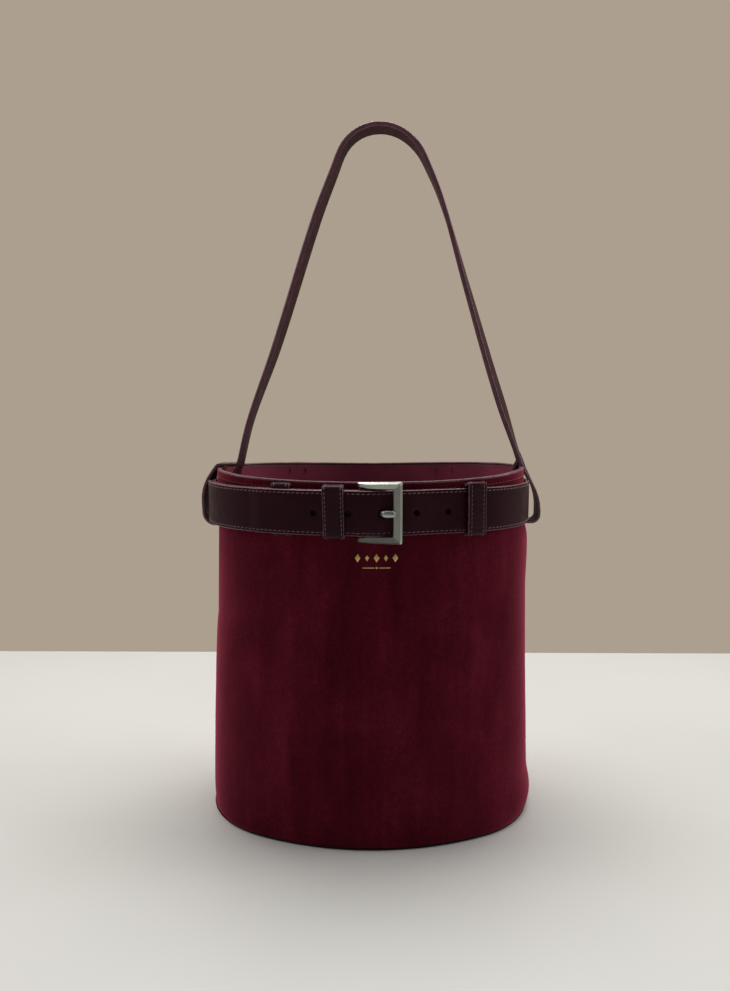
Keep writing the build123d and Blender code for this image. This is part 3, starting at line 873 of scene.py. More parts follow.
def rim_stitching():
    shape = Shape()
    seam_z = WALL_TOP - TOPSTITCH_DOWN

    def outside(s, v, w):
        return wall_point(s / LAP, seam_z + v, suede_out(s / LAP, seam_z) + w)

    stitch_line(shape, outside, 0, LAP, 0, 0, SEAM_PITCH, thick=0.45)
    return settle(shape.build("rim_topstitching", [tonal_thread]), "bag", "suede")


FACING_SEAM_UP = 3.8


def facing_band():
    """Leather facing inside the rim, with a turned and stitched lower edge."""
    shape = Shape()
    low = FACING_LOW.z
    rows = [low, low + 0.25, low + 0.8, low + 2, low + 3.2, low + FACING_SEAM_UP, low + 4.4]
    rows += [low + 4.4 + (WALL_TOP - 1.2 - low - 4.4) * k / 14 for k in range(1, 15)]
    rings = []
    columns = 300
    for column in range(columns):
        turn = column / columns
        x, y, heading = oval_point(turn, 1.0, 0)
        ring = [wall_point(turn, z, -SUEDE - STIFFENER) for z in rows]
        for z in reversed(rows):
            swell = 0.18 * uneven(5 * x, 5 * y, z / 30)
            turned = 0.35 * ease(1 - (z - low - FACING_SEAM_UP) / 1.5) * min(1.0, (z - low) / 0.6)
            hollow = 0.22 * exp(-(((z - low - FACING_SEAM_UP) / 0.5) ** 2))
            ring.append(wall_point(turn, z, -WALL - turned + hollow - swell))
        rings.append(ring)
    shape.loft(rings, closed=True)
    piece = shape.build("facing_band", [facing_leather], 50)
    thread = Shape()

    def seam(s, v, w):
        return wall_point(s / LAP, low + FACING_SEAM_UP + v, -WALL - 0.1 - w)

    stitch_line(thread, seam, 0, LAP, 0, 0, SEAM_PITCH, thick=0.55)
    settle(thread.build("facing_seam", [tonal_thread]), "bag", "facing_leather")
    return settle(piece, "bag", "facing_leather", "rim_facing")


def lining_floor():
    """Lining over the base board, softly crowned, with a bead where it meets the wall."""
    shape = Shape()
    steps = 26
    top = FLOOR_HIGH.z
    inner = half_width_at(top) - WALL + LINING
    columns = 160
    rings = []
    low_ring = []
    for step in range(steps, 0, -1):
        share = step / steps
        ring = []
        for column in range(columns):
            x, y, heading = oval_point(column / columns, inner * share, 0)
            crease = 0.25 * uneven(x / 34, y / 34, 5.0)
            bead = 0.9 * exp(-(((1 - share) / 0.02) ** 2))
            ring.append((x, y, top + 0.3 * (1 - share**2) + crease * (1 - share**4) + bead))
        rings.append(ring)
    for column in range(columns):
        x, y, heading = oval_point(column / columns, inner, 0)
        low_ring.append((x, y, FLOOR_LOW.z))
    shape.loft([low_ring] + rings)
    return settle(shape.build("lining_floor", [cloth], 60), "bag", "lining_cloth", "base_lining")


def base_underside():
    """Suede base panel, very slightly crowned, stitched round its border."""
    shape = Shape()
    columns = 220
    half = BASE_HIGH.x
    rise = BASE_HIGH.z
    rings = []
    for share, z in ((0.93, rise), (0.978, rise), (0.984, rise * 0.7), (0.983, rise * 0.3), (0.978, 0.05)):
        rings.append([(*oval_point(k / columns, half * share, 0)[:2], z) for k in range(columns)])
    seam_share = 0.957
    for share in (0.970, 0.962, seam_share, 0.952, 0.94, 0.85, 0.7, 0.5, 0.3, 0.12):
        ring = []
        for k in range(columns):
            x, y, heading = oval_point(k / columns, half * share, 0)
            hollow = 0.35 * exp(-(((share - seam_share) / 0.004) ** 2))
            dish = 0.4 * (1 - share) + 0.12 * uneven(x / 40, y / 40, 1.0)
            ring.append((x, y, max(0.0, hollow + (dish if share < 0.94 else 0.0))))
        rings.append(ring)
    shape.loft(rings)
    thread = Shape()

    def seam(s, v, w):
        x, y, heading = oval_point(s / LAP, half * seam_share, v)
        return x, y, 0.32 - w

    stitch_line(thread, seam, 0, LAP, 0, 0, SEAM_PITCH, thick=0.5)
    settle(thread.build("base_stitching", [tonal_thread]), "bag", "suede")
    return settle(shape.build("base_underside", [suede], 50), "bag", "suede", "base_panel")


def base_piping():
    """Dark leather welt round the foot of the wall."""
    shape = Shape()
    columns = 400
    sides = 12
    radius = 0.6
    mid_z = WELT_LOW.z + radius
    proud = -1.0
    rings = []
    for column in range(columns):
        turn = column / columns
        x, y, heading = oval_point(turn, 1.0, 0)
        swell = 1 + 0.06 * uneven(16 * x, 16 * y, 0.0)
        ring = []
        for k in range(sides):
            angle = 2 * pi * k / sides
            across = proud + radius * swell * cos(angle)
            ring.append(wall_point(turn, mid_z + radius * swell * sin(angle), across))
        rings.append(ring)
    shape.loft(rings, closed=True)
    return settle(shape.build("base_piping", [dark_welt], 60), "bag", "belt_leather", "base_welt")


suede_panel("suede_front", "front_panel", 0.0)
suede_panel("suede_back", "back_panel", 0.5)
wall_shell("wall_core", BASE_HIGH.z, WALL_TOP - 0.6, -SUEDE, STIFFENER, board, "board", "wall_stiffener")
wall_shell("lining_wall_cloth", FLOOR_HIGH.z, FACING_LOW.z + 0.3, -SUEDE - STIFFENER, LINING, cloth,
           "lining_cloth", "lining_wall", dents=1.0, columns=240, rows=40)
rim_bead()
rim_stitching()
facing_band()
lining_floor()
base_underside()
base_piping()
base_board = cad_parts["base_board"].data
base_board.materials.clear()
base_board.materials.append(board)


# ---- the belt ----
BELT_INSET = 2.2
BELT_PITCH = 3.3
BELT_ROWS = [4.0, 3.0, 2.0, 1.0, 5.4, 7.0, 9.0]
HOLE_RADIUS = 1.95
HOLE_REACH = 4.0
TONGUE_KEYS = [
    (TIP_RUN, BELT_GAP + BELT_THICK + BELT_GAP),
    (-86.0, BELT_GAP + BELT_THICK + BELT_GAP),
    (-74.0, TONGUE_LEVEL),
    (-12.6, TONGUE_LEVEL),
    (BAR_RUN, OVER_BAR),
    (4.0, OVER_BAR),
    (13.5, UNDER_FAR_BAR),
    (22.0, UNDER_FAR_BAR),
    (44.0, BELT_GAP),
    (LAP - 53.0, BELT_GAP),
    (LAP - 46.0, KEEPER_LIFT),
]
PLAIN_HOLES = [-36.8, -14.3, 30.7, 53.2]
# the prong's hole, stretched along the belt: middle, reach, along, across, top_shift, low_shift
PRONG_HOLE = (6.4, 4.5, 2.15, 2.6, 1.2, -1.2)
BACKING_END = LAP - 36.0


def on_belt(s, v, w):
    return belt_point(s, between(TONGUE_KEYS, s) + w, BELT_MID_Z + v)


def belt_strap():
    """Both leather layers of the belt, from the tongue's tip round the bag to where the fold begins."""
    shape = Shape()
    strip = Strip(BELT_WIDTH, BELT_THICK, BELT_INSET, BELT_ROWS, edge=0.6)
    holes = [(run, HOLE_REACH, HOLE_RADIUS, HOLE_RADIUS, 0.0, 0.0) for run in PLAIN_HOLES]
    holes.append(PRONG_HOLE)
    stations = stations_with(TIP_RUN, BACKING_END, 1.6, [(hole[0], hole[1]) for hole in holes])
    sweep_strip(shape, strip, stations, on_belt, holes)
    # The third material paints the shade inside the holes.
    piece = shape.build("belt_strap", [belt_leather, edge_paint, hole_shade_material])
    return settle(piece, "bag", "belt_leather", "belt_face", "belt_backing")


RISE_RUN = -12.6
TURNED_END_RUN = -34.0
PRONG_SLOT = 2.55


def fold_route():
    """(run, out) line of the outer layer where it turns round the buckle's bar and comes back."""
    centre = LAP + BAR_RUN
    inner = BAR_RADIUS
    keys = []
    start = BACKING_END - 1.0
    level = KEEPER_LIFT + LAYER
    for k in range(13):
        share = k / 12
        run = start + (LAP + RISE_RUN - start) * share
        keys.append((run, level, 0.0, 1.0))
    rise = BAR_OUT + inner - level
    for k in range(1, 7):
        share = k / 6
        keys.append((LAP + RISE_RUN + (BAR_RUN - RISE_RUN) * share, level + rise * ease(share), 0.0, 1.0))
    for k in range(1, 12):
        angle = pi / 2 - pi * k / 12
        keys.append((centre + inner * cos(angle), BAR_OUT + inner * sin(angle), cos(angle), sin(angle)))
    low = BAR_OUT - inner
    drop = TURNED_LEVEL + LAYER - low
    for k in range(7):
        share = k / 6
        keys.append((centre + (RISE_RUN - BAR_RUN) * share, low + drop * ease(share), 0.0, -1.0))
    for k in range(1, 12):
        share = k / 11
        run = LAP + RISE_RUN + (TURNED_END_RUN - RISE_RUN) * share
        keys.append((run, TURNED_LEVEL + LAYER, 0.0, -1.0))
    return keys


def belt_fold():
    """The outer layer alone, folded round the buckle's bar, with the slot for the prong."""
    shape = Shape()
    keys = fold_route()
    strip = Strip(BELT_WIDTH, LAYER, BELT_INSET, [PRONG_SLOT, 4.5, 7.5], edge=0.5, dip=0.1)

    def place(i, v, w):
        run, out, along, up = keys[i]
        return belt_point(run + along * w, out + up * w, BELT_MID_Z + v)

    rings = [shape.ring([place(i, v, w) for v, w in strip.outline]) for i in range(len(keys))]
    slot_runs = (LAP - 12.3, LAP + BAR_RUN + BAR_RADIUS + LAYER)
    slot = [i for i, key in enumerate(keys) if slot_runs[0] <= key[0] <= slot_runs[1]]
    row_low = strip.across.index(-PRONG_SLOT)
    row_high = strip.across.index(PRONG_SLOT)
    under_rows = range(strip.bottom_index(row_high), strip.bottom_index(row_low))
    count = len(strip.outline)
    for i in range(len(rings) - 1):
        cut = slot[0] <= i < slot[-1]
        for k in range(count):
            m = (k + 1) % count
            if cut and (row_low <= k < row_high or k in under_rows):
                continue
            shape.face((rings[i][k], rings[i][m], rings[i + 1][m], rings[i + 1][k]), strip.looks[k])
        if cut:
            for row in (row_low, row_high):
                top, low = strip.top_index(row), strip.bottom_index(row)
                shape.face((rings[i][top], rings[i + 1][top], rings[i + 1][low], rings[i][low]), EDGE)
    for i in (slot[0], slot[-1]):
        for row in range(row_low, row_high):
            over = (strip.top_index(row), strip.top_index(row + 1))
            under = (strip.bottom_index(row + 1), strip.bottom_index(row))
            shape.face(tuple(rings[i][k] for k in over + under), EDGE)
    shape.cap(rings[0], EDGE)
    shape.cap(rings[-1], EDGE)
    return settle(shape.build("belt_fold", [belt_leather, edge_paint]), "bag", "belt_leather")


def belt_stitching():
    shape = Shape()
    seam = BELT_WIDTH / 2 - BELT_INSET
    for v in (seam, -seam):
        stitch_line(shape, on_belt, TIP_RUN + 2, BACKING_END, v, BELT_THICK - 0.1, BELT_PITCH, slant=0.22)
    return settle(shape.build("belt_stitching", [mauve_thread]), "bag", "belt_leather")


belt_strap()
belt_fold()
belt_stitching()


# ---- keeper and carriers: strips bent in the plane of (out, height) ----
STRIP_INSET = 1.7
STRIP_PITCH = 3.0


def bent_strip(name, thread_name, route, width, thick, middle_run, body, node, closed=False, tilt=0.0,
               inset=STRIP_INSET, leather=None):
    """A strip that follows a route of (out, height) at one run, stitched near both edges."""
    shape = Shape()
    strip = Strip(width, thick, inset, [1.5], edge=0.5, crown=0.1)

    def place(s, v, w):
        out, z, heading = route.at(s)
        out += (w - thick / 2) * sin(heading)
        height = z - (w - thick / 2) * cos(heading)
        return belt_point(middle_run + v + tilt * (height - BELT_MID_Z), out, height)

    stations = route.marks[:-1] if closed else route.marks
    sweep_strip(shape, strip, stations, place, closed=closed)
    piece = settle(shape.build(name, [leather or belt_leather, edge_paint]), body, "belt_leather", node)
    thread = Shape()
    for v in (-strip.seam, strip.seam):
        stitch_line(thread, place, 0, route.length, v, thick - 0.08, STRIP_PITCH, thick=0.58, slant=0.12)
    settle(thread.build(thread_name, [mauve_thread]), body, "belt_leather")
    return piece


KEEPER_WIDTH = 13.8
KEEPER_RUN = -23.6
KEEPER_TILT = -0.03


def keeper():
    thick = 1.8
    back = 0.9
    front = TONGUE_LEVEL + BELT_THICK + 0.3 + thick / 2
    low = KEEPER_LOW.z + thick / 2
    top = KEEPER_HIGH.z - thick / 2
    route = Route([(back, low), (front, low), (front, top), (back, top)], [1.3, 1.9, 2.2, 1.3], closed=True)
    return bent_strip("keeper_ring", "keeper_stitching", route, KEEPER_WIDTH, thick, KEEPER_RUN, "keeper",
                      "belt_keeper", closed=True, tilt=KEEPER_TILT, leather=keeper_leather)


CARRIER_WIDTH = 13.6
CARRIER_END = -2.6
CARRIER_SEAM = 2.3
OVER_BELT = 2 * BELT_GAP + BELT_THICK
# node, run, stand-off from the suede, thickness, bend of the front top corner, lift of the top, its slope
CARRIERS = [
    ("carrier_front_right", 73.2, 5.2, 1.8, 1.0, 0.0, 0.0),
    ("carrier_front_left", -61.5, OVER_BELT, 1.4, 1.5, 0.3, 2.4),
    ("carrier_back_right", LAP / 2 - 65.0, OVER_BELT + BELT_GAP, 1.8, 1.0, 0.0, 0.0),
    ("carrier_back_left", LAP / 2 + 65.0, OVER_BELT + BELT_GAP, 1.8, 1.0, 0.0, 0.0),
]


def carrier(node, run, stand_off, thick, bend, lift, slope):
    """Loop through two slits in the wall, over the belt; its ends are held between the layers."""
    low, high = box_mm(node)
    mid = stand_off + thick / 2
    top = high.z - thick / 2 + lift
    slit_high = BELT_HIGH.z + 1.9
    slit_low = BELT_LOW.z - 0.3 - thick / 2 + 0.5 * lift
    route = Route(
        [(CARRIER_END, slit_low), (mid, slit_low), (mid, top - slope), (mid - 2.2, top), (1.2, slit_high),
         (CARRIER_END, slit_high)],
        [1.6, bend, 0.95, 1.0],
    )
    return bent_strip(node + "_strip", node + "_stitching", route, CARRIER_WIDTH, thick, run, "bag", node,
                      inset=CARRIER_SEAM, leather=keeper_leather)


TACK_ASIDE = 7.2
TACK_HEIGHTS = ((253.2, 258.0), (222.4, 226.6))


def bar_tacks():
    """Short rows of dark stitches on the facing, where the carriers' ends are sewn down."""
    shape = Shape()
    for carrier_run in [row[1] for row in CARRIERS]:
        for run in (carrier_run - TACK_ASIDE, carrier_run + TACK_ASIDE):
            for low, high in TACK_HEIGHTS:
                bar_tack(shape, run, low, high)
    return settle(shape.build("carrier_bar_tacks", [dark_thread]), "bag", "facing_leather")


def bar_tack(shape, run, low, high):
    def place(s, v, w):
        return wall_point((run + v) / LAP, s, -WALL - 0.05 - w)

    stitch_line(shape, place, low, high, 0, 0, 1.6, thick=0.8, slant=0.25, share=0.9)


keeper()
for carrier_row in CARRIERS:
    carrier(*carrier_row)
bar_tacks()


# ---- buckle ----
FRAME_DEPTH = 4.2
FAR_BAR_OUT = 8.35
FRAME_BOW = 1.2
FRAME_END_RUN = 20.8
ARM = 5.0
ARM_TAPER = 0.9
FAR_BAR = 5.9
OUTER_CORNER = 1.2
INNER_CORNER = 0.7
FRAME_RAISE = 0.3
END_CUT = 1.2
BAR_PROFILE = [(0.0, -0.62), (0.0, 0.52), (0.04, 0.70), (0.72, 1.0), (0.965, 0.40), (1.0, 0.22),
               (1.0, -0.62), (0.93, -0.88), (0.75, -1.0), (0.25, -1.0), (0.07, -0.88)]


def frame_level(run):
    """Distance of the frame's middle surface from the suede: a shallow bow from the bar to the far bar."""
    share = (run - BAR_RUN) / (FRAME_END_RUN - BAR_RUN)
    return BAR_OUT + (FAR_BAR_OUT - BAR_OUT) * share + 4 * FRAME_BOW * share * (1 - share)


def on_corner(run, z, radius, angle):
    """Point on the round corner that a frame's end makes with its lower edge."""
    return run - radius + radius * cos(angle), z + radius + radius * sin(angle)


def frame_lines():
    """Matching points on the frame's outer and inner outline, from the lower arm's end to the upper arm's."""
    half = (FRAME_HIGH.z - FRAME_LOW.z) / 2
    inner_half = half - ARM
    end_in = FRAME_END_RUN - FAR_BAR
    start = BAR_RUN - FRAME_DEPTH / 2
    pairs = []
    for share in (0.0, 0.02, 0.06, 0.12, 0.2, 0.3, 0.45, 0.6, 0.75, 0.9, 1.0):
        taper = ARM_TAPER * (1 - share)
        cut = END_CUT * max(0.0, 1 - share / 0.28)
        outer = (start + (FRAME_END_RUN - OUTER_CORNER - start) * share, -half + taper * 0.7)
        inner = (start + (end_in - INNER_CORNER - start) * share, -inner_half - taper * 0.3 - cut)
        pairs.append((outer, inner))
    for k in range(1, 9):
        angle = -pi / 2 + pi / 2 * k / 8
        outer = on_corner(FRAME_END_RUN, -half, OUTER_CORNER, angle)
        pairs.append((outer, on_corner(end_in, -inner_half, INNER_CORNER, angle)))
    for share in (0.15, 0.3, 0.42):
        outer = (FRAME_END_RUN, (-half + OUTER_CORNER) * (1 - 2 * share))
        inner = (end_in, (-inner_half + INNER_CORNER) * (1 - 2 * share))
        pairs.append((outer, inner))
    return pairs + [((o[0], -o[1]), (i[0], -i[1])) for o, i in reversed(pairs)]


def buckle_frame():
    shape = Shape()
    rings = []
    start = BAR_RUN - FRAME_DEPTH / 2
    for outer, inner in frame_lines():
        ring = []
        for share, height in BAR_PROFILE:
            run = inner[0] + (outer[0] - inner[0]) * share
            z = inner[1] + (outer[1] - inner[1]) * share
            near = min(1.0, (run - start) / (FRAME_DEPTH / 2) + 0.08)
            half = FRAME_DEPTH / 2 * sqrt(max(0.0, 1 - (1 - near) ** 2))
            ring.append(belt_point(run, frame_level(run) + half * height, BELT_MID_Z + FRAME_RAISE + z))
        rings.append(ring)
    shape.loft(rings)
    piece = shape.build("buckle_frame_cast", [metal], 16)
    return settle(piece, "buckle_frame", "buckle_metal", "buckle_frame")


PRONG_LINE = [(BAR_RUN, 4.75), (-2.5, 4.6), (1.5, 4.4), (5.3, 4.8), (7.2, 7.0), (8.4, 9.4), (9.8, 10.7),
              (12.4, 11.15), (13.9, 11.15)]
PRONG_THICK = 2.5
PRONG_SMOOTHINGS = 4
EYE_OUTER = 2.6


def buckle_prong():
    """Eye round the bar, and a plump shank that rises through the tongue and rests on the far bar."""
    shape = Shape()
    width = PRONG_HIGH.z - PRONG_LOW.z
    sides = 16
    line = []
    for (r0, o0), (r1, o1) in zip(PRONG_LINE, PRONG_LINE[1:]):
        for k in range(3):
            line.append((r0 + (r1 - r0) * k / 3, o0 + (o1 - o0) * k / 3))
    line.append(PRONG_LINE[-1])
    for _ in range(PRONG_SMOOTHINGS):
        smoothed = []
        for a, b, c in zip(line, line[1:], line[2:]):
            smoothed.append(((a[0] + 2 * b[0] + c[0]) / 4, (a[1] + 2 * b[1] + c[1]) / 4))
        line = [line[0]] + smoothed + [line[-1]]
    rings = []
    for i, (run, out) in enumerate(line):
        before, after = line[max(i - 1, 0)], line[min(i + 1, len(line) - 1)]
        heading = atan2(after[1] - before[1], after[0] - before[0])
        plump = 1.0 + 0.10 * exp(-(((run - 10.5) / 3.5) ** 2))
        rings.append(prong_ring(run, out, heading, width * plump, PRONG_THICK * plump, sides))
    run, out = line[-1]
    for k in range(1, 9):
        angle = pi / 2 * k / 8.4
        reach = 2.2 * sin(angle)
        size = cos(angle) ** 0.8
        rings.append(prong_ring(run + reach, out, 0.0, width * size, PRONG_THICK * size, sides))
    shape.loft(rings)
    bore = BAR_RADIUS - 0.02
    halves = [(-0.5, 0.86), (-0.42, 1.0), (0.42, 1.0), (0.5, 0.86)]
    rings = []
    for k in range(32):
        angle = 2 * pi * k / 32
        section = []
        for across, size in halves:
            section.append((bore + (EYE_OUTER - bore) * size, across * width))
        for across, size in reversed(halves):
            section.append((bore, across * width))
        ring = []
        for radius, z in section:
            run = BAR_RUN + radius * cos(angle)
            ring.append(belt_point(run, BAR_OUT + radius * sin(angle), BELT_MID_Z + z))
        rings.append(ring)
    shape.loft(rings, closed=True)
    return settle(shape.build("buckle_prong_cast", [metal], 40), "prong", "buckle_metal", "buckle_prong")


def prong_ring(run, out, heading, width, thick, sides):
    ring = []
    for k in range(sides):
        angle = 2 * pi * k / sides
        z = width / 2 * cos(angle)
        up = thick / 2 * sin(angle)
        ring.append(belt_point(run - up * sin(heading), out + up * cos(heading), BELT_MID_Z + z))
    return ring


def buckle_bar():
    """Round bar under the tongue, slimmer where its ends enter the arms; its near-black metal is painted
    shade.
    """
    shape = Shape()
    half = (BAR_HIGH.z - BAR_LOW.z) / 2
    rings = []
    for share, radius in ((-1.0, 0.9), (-0.80, 0.9), (-0.76, 1.48), (0.76, 1.48), (0.80, 0.9), (1.0, 0.9)):
        ring = []
        for k in range(24):
            angle = 2 * pi * k / 24
            run = BAR_RUN + radius * cos(angle)
            ring.append(belt_point(run, BAR_OUT + radius * sin(angle), BELT_MID_Z + half * share))
        rings.append(ring)
    shape.loft(rings)
    piece = shape.build("buckle_bar_rod", [shaded_bar_metal], 40)
    return settle(piece, "buckle_frame", "buckle_metal", "buckle_bar")


buckle_frame()
buckle_bar()
buckle_prong()


# ---- strap and side loops: strips bent in the upright plane through the sides ----
STRAP_WIDTH = 16.0
STRAP_THICK = 3.6
LOOP_THICK = 2.5
LOOP_TAIL_THICK = 1.7
SWING_Z = 280.5
FOLD_Z = 375.5
BEND_REACH = 15.0
SPLIT_Z = 328.0
LEG_END_Z = 266.4
LEG_BLEND = (274.0, 296.0)
ARCH_X = 6.75
ARCH_Z = 480.7
ARCH_RADIUS = 33.3
FOOT_RIGHT_X = 112.9
FOOT_LEFT_X = -99.6
# by height: how far each leg is turned to show its outer face, in degrees, and how far it bows sideways
RIGHT_TWIST = [(280, 12.0), (316, 23.0), (470, 5.0), (514, -5.0)]
LEFT_TWIST = [(262, -1.0), (306, -2.0), (360, -9.0), (440, -11.0), (514, -6.0)]
RIGHT_BOW = [(262, -2.5), (330, -1.5), (400, 1.5), (465, 4.2), (506, 0.0)]
LEFT_BOW = [(262, 4.8), (300, 0.8), (355, 1.7), (450, -0.6), (494, 1.0), (514, 0.0)]
ARCH_LIFT = 0.5


def leg_heading(foot_x, side):
    """Bearing of a leg from its foot to where it touches the arch's circle."""
    dx = ARCH_X - foot_x
    dz = ARCH_Z - SWING_Z
    return atan2(dz, dx) - side * asin(ARCH_RADIUS / hypot(dx, dz))


def strap_route():
    """Straight legs and the arch over the top, from the right foot to the left foot."""
    right = leg_heading(FOOT_RIGHT_X, 1)
    left = leg_heading(FOOT_LEFT_X, -1)
    span = FOOT_LEFT_X - FOOT_RIGHT_X
    reach = span * sin(left) / (cos(right) * sin(left) - sin(right) * cos(left))
    apex = (FOOT_RIGHT_X + reach * cos(right), SWING_Z + reach * sin(right))
    ends = []
    for foot_x, heading in ((FOOT_RIGHT_X, right), (FOOT_LEFT_X, left)):
        down = (SWING_Z - LEG_END_Z) / sin(heading)
        ends.append((foot_x - down * cos(heading), LEG_END_Z))
    return Route([ends[0], apex, ends[1]], [ARCH_RADIUS])


strap_line = strap_route()


def on_strap(s, v, w):
    """Point on the strap: v is across towards the back, w out from the strap's middle to its outer face."""
    x, z, heading = strap_line.at(s)
    twists, bows = (RIGHT_TWIST, RIGHT_BOW) if x > ARCH_X else (LEFT_TWIST, LEFT_BOW)
    twist = radians(through(twists, z))
    across = v * cos(twist) - w * sin(twist)
    up = v * sin(twist) + w * cos(twist)
    lift = ARCH_LIFT * ease((z - ARCH_Z) / ARCH_RADIUS)
    return x + through(bows, z) + up * sin(heading), across, z + lift - up * cos(heading)


STRAP_STEP = 2.0


def strap_stations(start, end):
    count = round((end - start) / STRAP_STEP)
    return [start + (end - start) * k / count for k in range(count + 1)]


def mark_at_height(z, rising):
    """Distance along the strap at which a leg passes a height."""
    marks = strap_line.marks
    pairs = list(zip(marks, strap_line.points))
    if not rising:
        pairs = pairs[::-1]
    for (s0, p0), (s1, p1) in zip(pairs, pairs[1:]):
        if p0[1] <= z <= p1[1]:
            return s0 + (s1 - s0) * (z - p0[1]) / (p1[1] - p0[1])
    raise ValueError("the strap does not pass that height")


def strap_piece(name, start, end):
    shape = Shape()
    strip = Strip(STRAP_WIDTH, STRAP_THICK, 2.2, [2.5, 4.4], edge=0.8, crown=0.15)

    def place(s, v, w):
        return on_strap(s, v, w - STRAP_THICK / 2)

    sweep_strip(shape, strip, strap_stations(start, end), place)
    piece = shape.build(name, [strap_leather, edge_paint])
    return piece


SPLIT_RIGHT = mark_at_height(SPLIT_Z, True)
SPLIT_LEFT = mark_at_height(SPLIT_Z, False)


def straps():
    arch = strap_piece("strap_arch_band", SPLIT_RIGHT, SPLIT_LEFT)
    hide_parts("strap_arch_face", "strap_arch_backing")
    low, high = (0, 0, (FOLD_Z - BEND_REACH) * MM), (0, 0, (FOLD_Z + BEND_REACH) * MM)
    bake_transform(arch)
    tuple(low)
    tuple(high)
    low, high = (0, 0, LEG_BLEND[0] * MM), (0, 0, LEG_BLEND[1] * MM)
    for side, start, end in (("right", 0.0, SPLIT_RIGHT), ("left", SPLIT_LEFT, strap_line.length)):
        leg = strap_piece("strap_leg_" + side, start, end)
        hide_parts("strap_leg_" + side + "_face", "strap_leg_" + side + "_backing")
        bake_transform(leg)
        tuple(low)
        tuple(high)


LOOP_TAIL_LENGTH = 9.0
LOOP_RIGHT = [(113.9, 275.0), (118.4, 262.5), (129.0, 243.0), (129.0, 222.9), (111.0, 222.9), (111.0, 265.0),
              (113.4, 270.4), (112.2, 275.0)]
LOOP_RIGHT_BENDS = [14.0, 45.0, 5.5, 1.6, 6.0, 5.0]
LOOP_LEFT = [(-99.3, 275.0), (-101.2, 266.4), (-116.8, 266.2), (-127.7, 247.3), (-127.7, 221.0),
             (-112.2, 221.0), (-102.6, 262.0), (-98.9, 270.0), (-97.8, 275.0)]
LOOP_LEFT_BENDS = [2.2, 3.2, 35.0, 8.5, 1.6, 14.0, 12.0]
# by height: turn of each loop's outer ply, in degrees, the same as the leg's own turn where the two meet
LOOP_TURN_RIGHT = [(232, 0.0), (246, 5.0), (262, 12.0), (276, 12.0)]
LOOP_TURN_LEFT = [(226, 0.0), (256, -9.0), (268, -1.0), (276, -1.0)]


def side_loop(side, corners, bends, turns):
    """The strap's end, parted in two above the rim: one ply outside the belt, one inside the wall."""
    shape = Shape()
    strip = Strip(STRAP_WIDTH - 0.4, LOOP_THICK, 2.2, [2.5], edge=0.6, crown=0.1)
    route = Route(corners, bends)
    facing = 1 if side == "right" else -1

    def place(s, v, w):
        x, z, heading = route.at(s)
        from_end = min(s, route.length - s)
        ply = between([(0.0, LOOP_TAIL_THICK / LOOP_THICK), (LOOP_TAIL_LENGTH, 1.0)], from_end)
        twist = radians(through(turns, z))
        climb = facing if s < route.length / 2 else -facing
        up = facing * (w - LOOP_THICK / 2) * ply + climb * v * sin(twist)
        return x - up * sin(heading), v * cos(twist), z + up * cos(heading)

    sweep_strip(shape, strip, route.marks, place)
    piece = shape.build("side_loop_" + side + "_band", [strap_leather, edge_paint])
    return settle(piece, "bag", "belt_leather", "side_loop_" + side)


straps()
side_loop("right", LOOP_RIGHT, LOOP_RIGHT_BENDS, LOOP_TURN_RIGHT)
side_loop("left", LOOP_LEFT, LOOP_LEFT_BENDS, LOOP_TURN_LEFT)


# ---- gold ornament in place of any lettering: five lozenges over a thin rule ----
ORNAMENT_X = 4.5
ORNAMENT_Z = 208.6
RULE_Z = 201.8
RULE_HALF = 0.35
DOT_RADIUS = 0.8


def plate(shape, outline, thick=0.12):
    """A thin foil shape on the suede, given by (run, height) corners."""
    rings = []
    for size, level in ((1.0, -0.3), (1.0, thick * 0.6), (0.93, thick)):
        mid_run = sum(p[0] for p in outline) / len(outline)
        mid_z = sum(p[1] for p in outline) / len(outline)
        ring = []
        for run, z in outline:
            run = mid_run + (run - mid_run) * size
            z = mid_z + (z - mid_z) * size
            turn = run / LAP
            ring.append(wall_point(turn, z, suede_out(turn, z) + level))
        rings.append(ring)
    shape.loft(rings)


def ornament():
    shape = Shape()
    spacing = 6.4
    for k in range(-2, 3):
        run = ORNAMENT_X + spacing * k
        tall = 2.9 if k % 2 == 0 else 2.1
        wide = 1.9 if k % 2 == 0 else 1.4
        low, high = ORNAMENT_Z - tall, ORNAMENT_Z + tall
        plate(shape, [(run - wide, ORNAMENT_Z), (run, low), (run + wide, ORNAMENT_Z), (run, high)])
    low, high = RULE_Z - RULE_HALF, RULE_Z + RULE_HALF
    for start, end in ((-9.5, -1.6), (1.6, 9.5)):
        run_a, run_b = ORNAMENT_X + start, ORNAMENT_X + end
        plate(shape, [(run_a, low), (run_b, low), (run_b, high), (run_a, high)])
    angles = [pi * k / 6 for k in range(12)]
    dot = [(ORNAMENT_X + DOT_RADIUS * cos(angle), RULE_Z + DOT_RADIUS * sin(angle)) for angle in angles]
    plate(shape, dot)
    return settle(shape.build("foil_ornament", [foil], 30), "bag", "buckle_metal")


ornament()


# ---- floor, light and camera ----
# metres, millimetres of lens, and degrees
FLOOR_BACK = 0.367
CAMERA_PLACE = (0.00225, -0.6154, 0.3134)
CAMERA_LENS = 29.06
CAMERA_DOWN = 6.60
CAMERA_TURN = 0.60


def make_floor():
    mesh = bpy.data.meshes.new("floor")
    side, front = 3.0, -2.5
    corners = [(-side, front, 0), (side, front, 0), (side, FLOOR_BACK, 0), (-side, FLOOR_BACK, 0)]
    mesh.from_pydata(corners, [], [(0, 1, 2, 3)])
    mesh.materials.append(floor_look())
    floor = bpy.data.objects.new("floor", mesh)
    bpy.context.scene.collection.objects.link(floor)


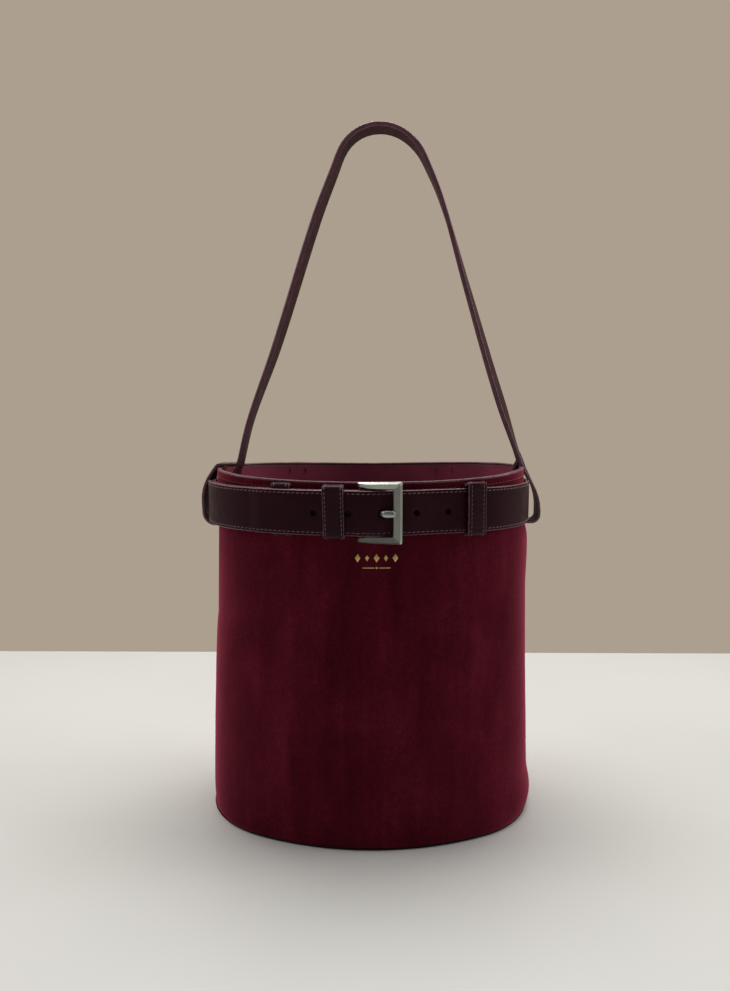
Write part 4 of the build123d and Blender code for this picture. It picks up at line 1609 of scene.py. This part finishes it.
def area_light(name, place, target, size, power, colour=(1.0, 0.97, 0.93)):
    data = bpy.data.lights.new(name, "AREA")
    data.shape = "RECTANGLE"
    data.size, data.size_y = size
    data.energy = power
    data.color = colour
    light = bpy.data.objects.new(name, data)
    light.location = place
    light.rotation_euler = (Vector(target) - Vector(place)).to_track_quat("-Z", "Y").to_euler()
    bpy.context.scene.collection.objects.link(light)


def surround_world():
    """Warm pale wall behind the bag, dim room in front of it."""
    world = bpy.data.worlds.new("soft_surround")
    world.use_nodes = True
    tree = world.node_tree
    direction = tree.nodes.new("ShaderNodeTexCoord").outputs["Generated"]
    split = tree.nodes.new("ShaderNodeSeparateXYZ")
    ramp = tree.nodes.new("ShaderNodeValToRGB")
    spread = tree.nodes.new("ShaderNodeMapRange")
    spread.inputs["From Min"].default_value = -1.0
    tree.links.new(direction, split.inputs["Vector"])
    tree.links.new(split.outputs["Y"], spread.inputs["Value"])
    tree.links.new(spread.outputs["Result"], ramp.inputs["Fac"])
    dim, wall = ramp.color_ramp.elements
    dim.position, dim.color = 0.42, (0.15, 0.15, 0.15, 1.0)
    wall.position, wall.color = 0.68, (0.413, 0.347, 0.275, 1.0)
    tree.links.new(ramp.outputs["Color"], tree.nodes["Background"].inputs["Color"])
    return world


def make_light():
    bpy.context.scene.world = surround_world()
    area_light("overhead", (0.0, 0.28, 1.45), (0.0, 0.14, 0.1), (1.3, 0.6), 18, (1.0, 0.99, 0.985))
    area_light("left_soft", (-1.3, 0.0, 0.95), (0.0, 0.0, 0.2), (0.6, 1.0), 5.5, (1.0, 0.98, 0.96))
    area_light("right_soft", (1.3, 0.0, 0.95), (0.0, 0.0, 0.2), (0.6, 1.0), 7, (1.0, 0.98, 0.96))


def make_camera():
    data = bpy.data.cameras.new("camera")
    data.sensor_width = 36.0
    data.lens = CAMERA_LENS
    camera = bpy.data.objects.new("camera", data)
    camera.location = CAMERA_PLACE
    camera.rotation_euler = (radians(90 - CAMERA_DOWN), 0.0, radians(CAMERA_TURN))
    bpy.context.scene.collection.objects.link(camera)
    bpy.context.scene.camera = camera


make_floor()
make_light()
make_camera()
bpy.context.scene.view_settings.view_transform = "Standard"
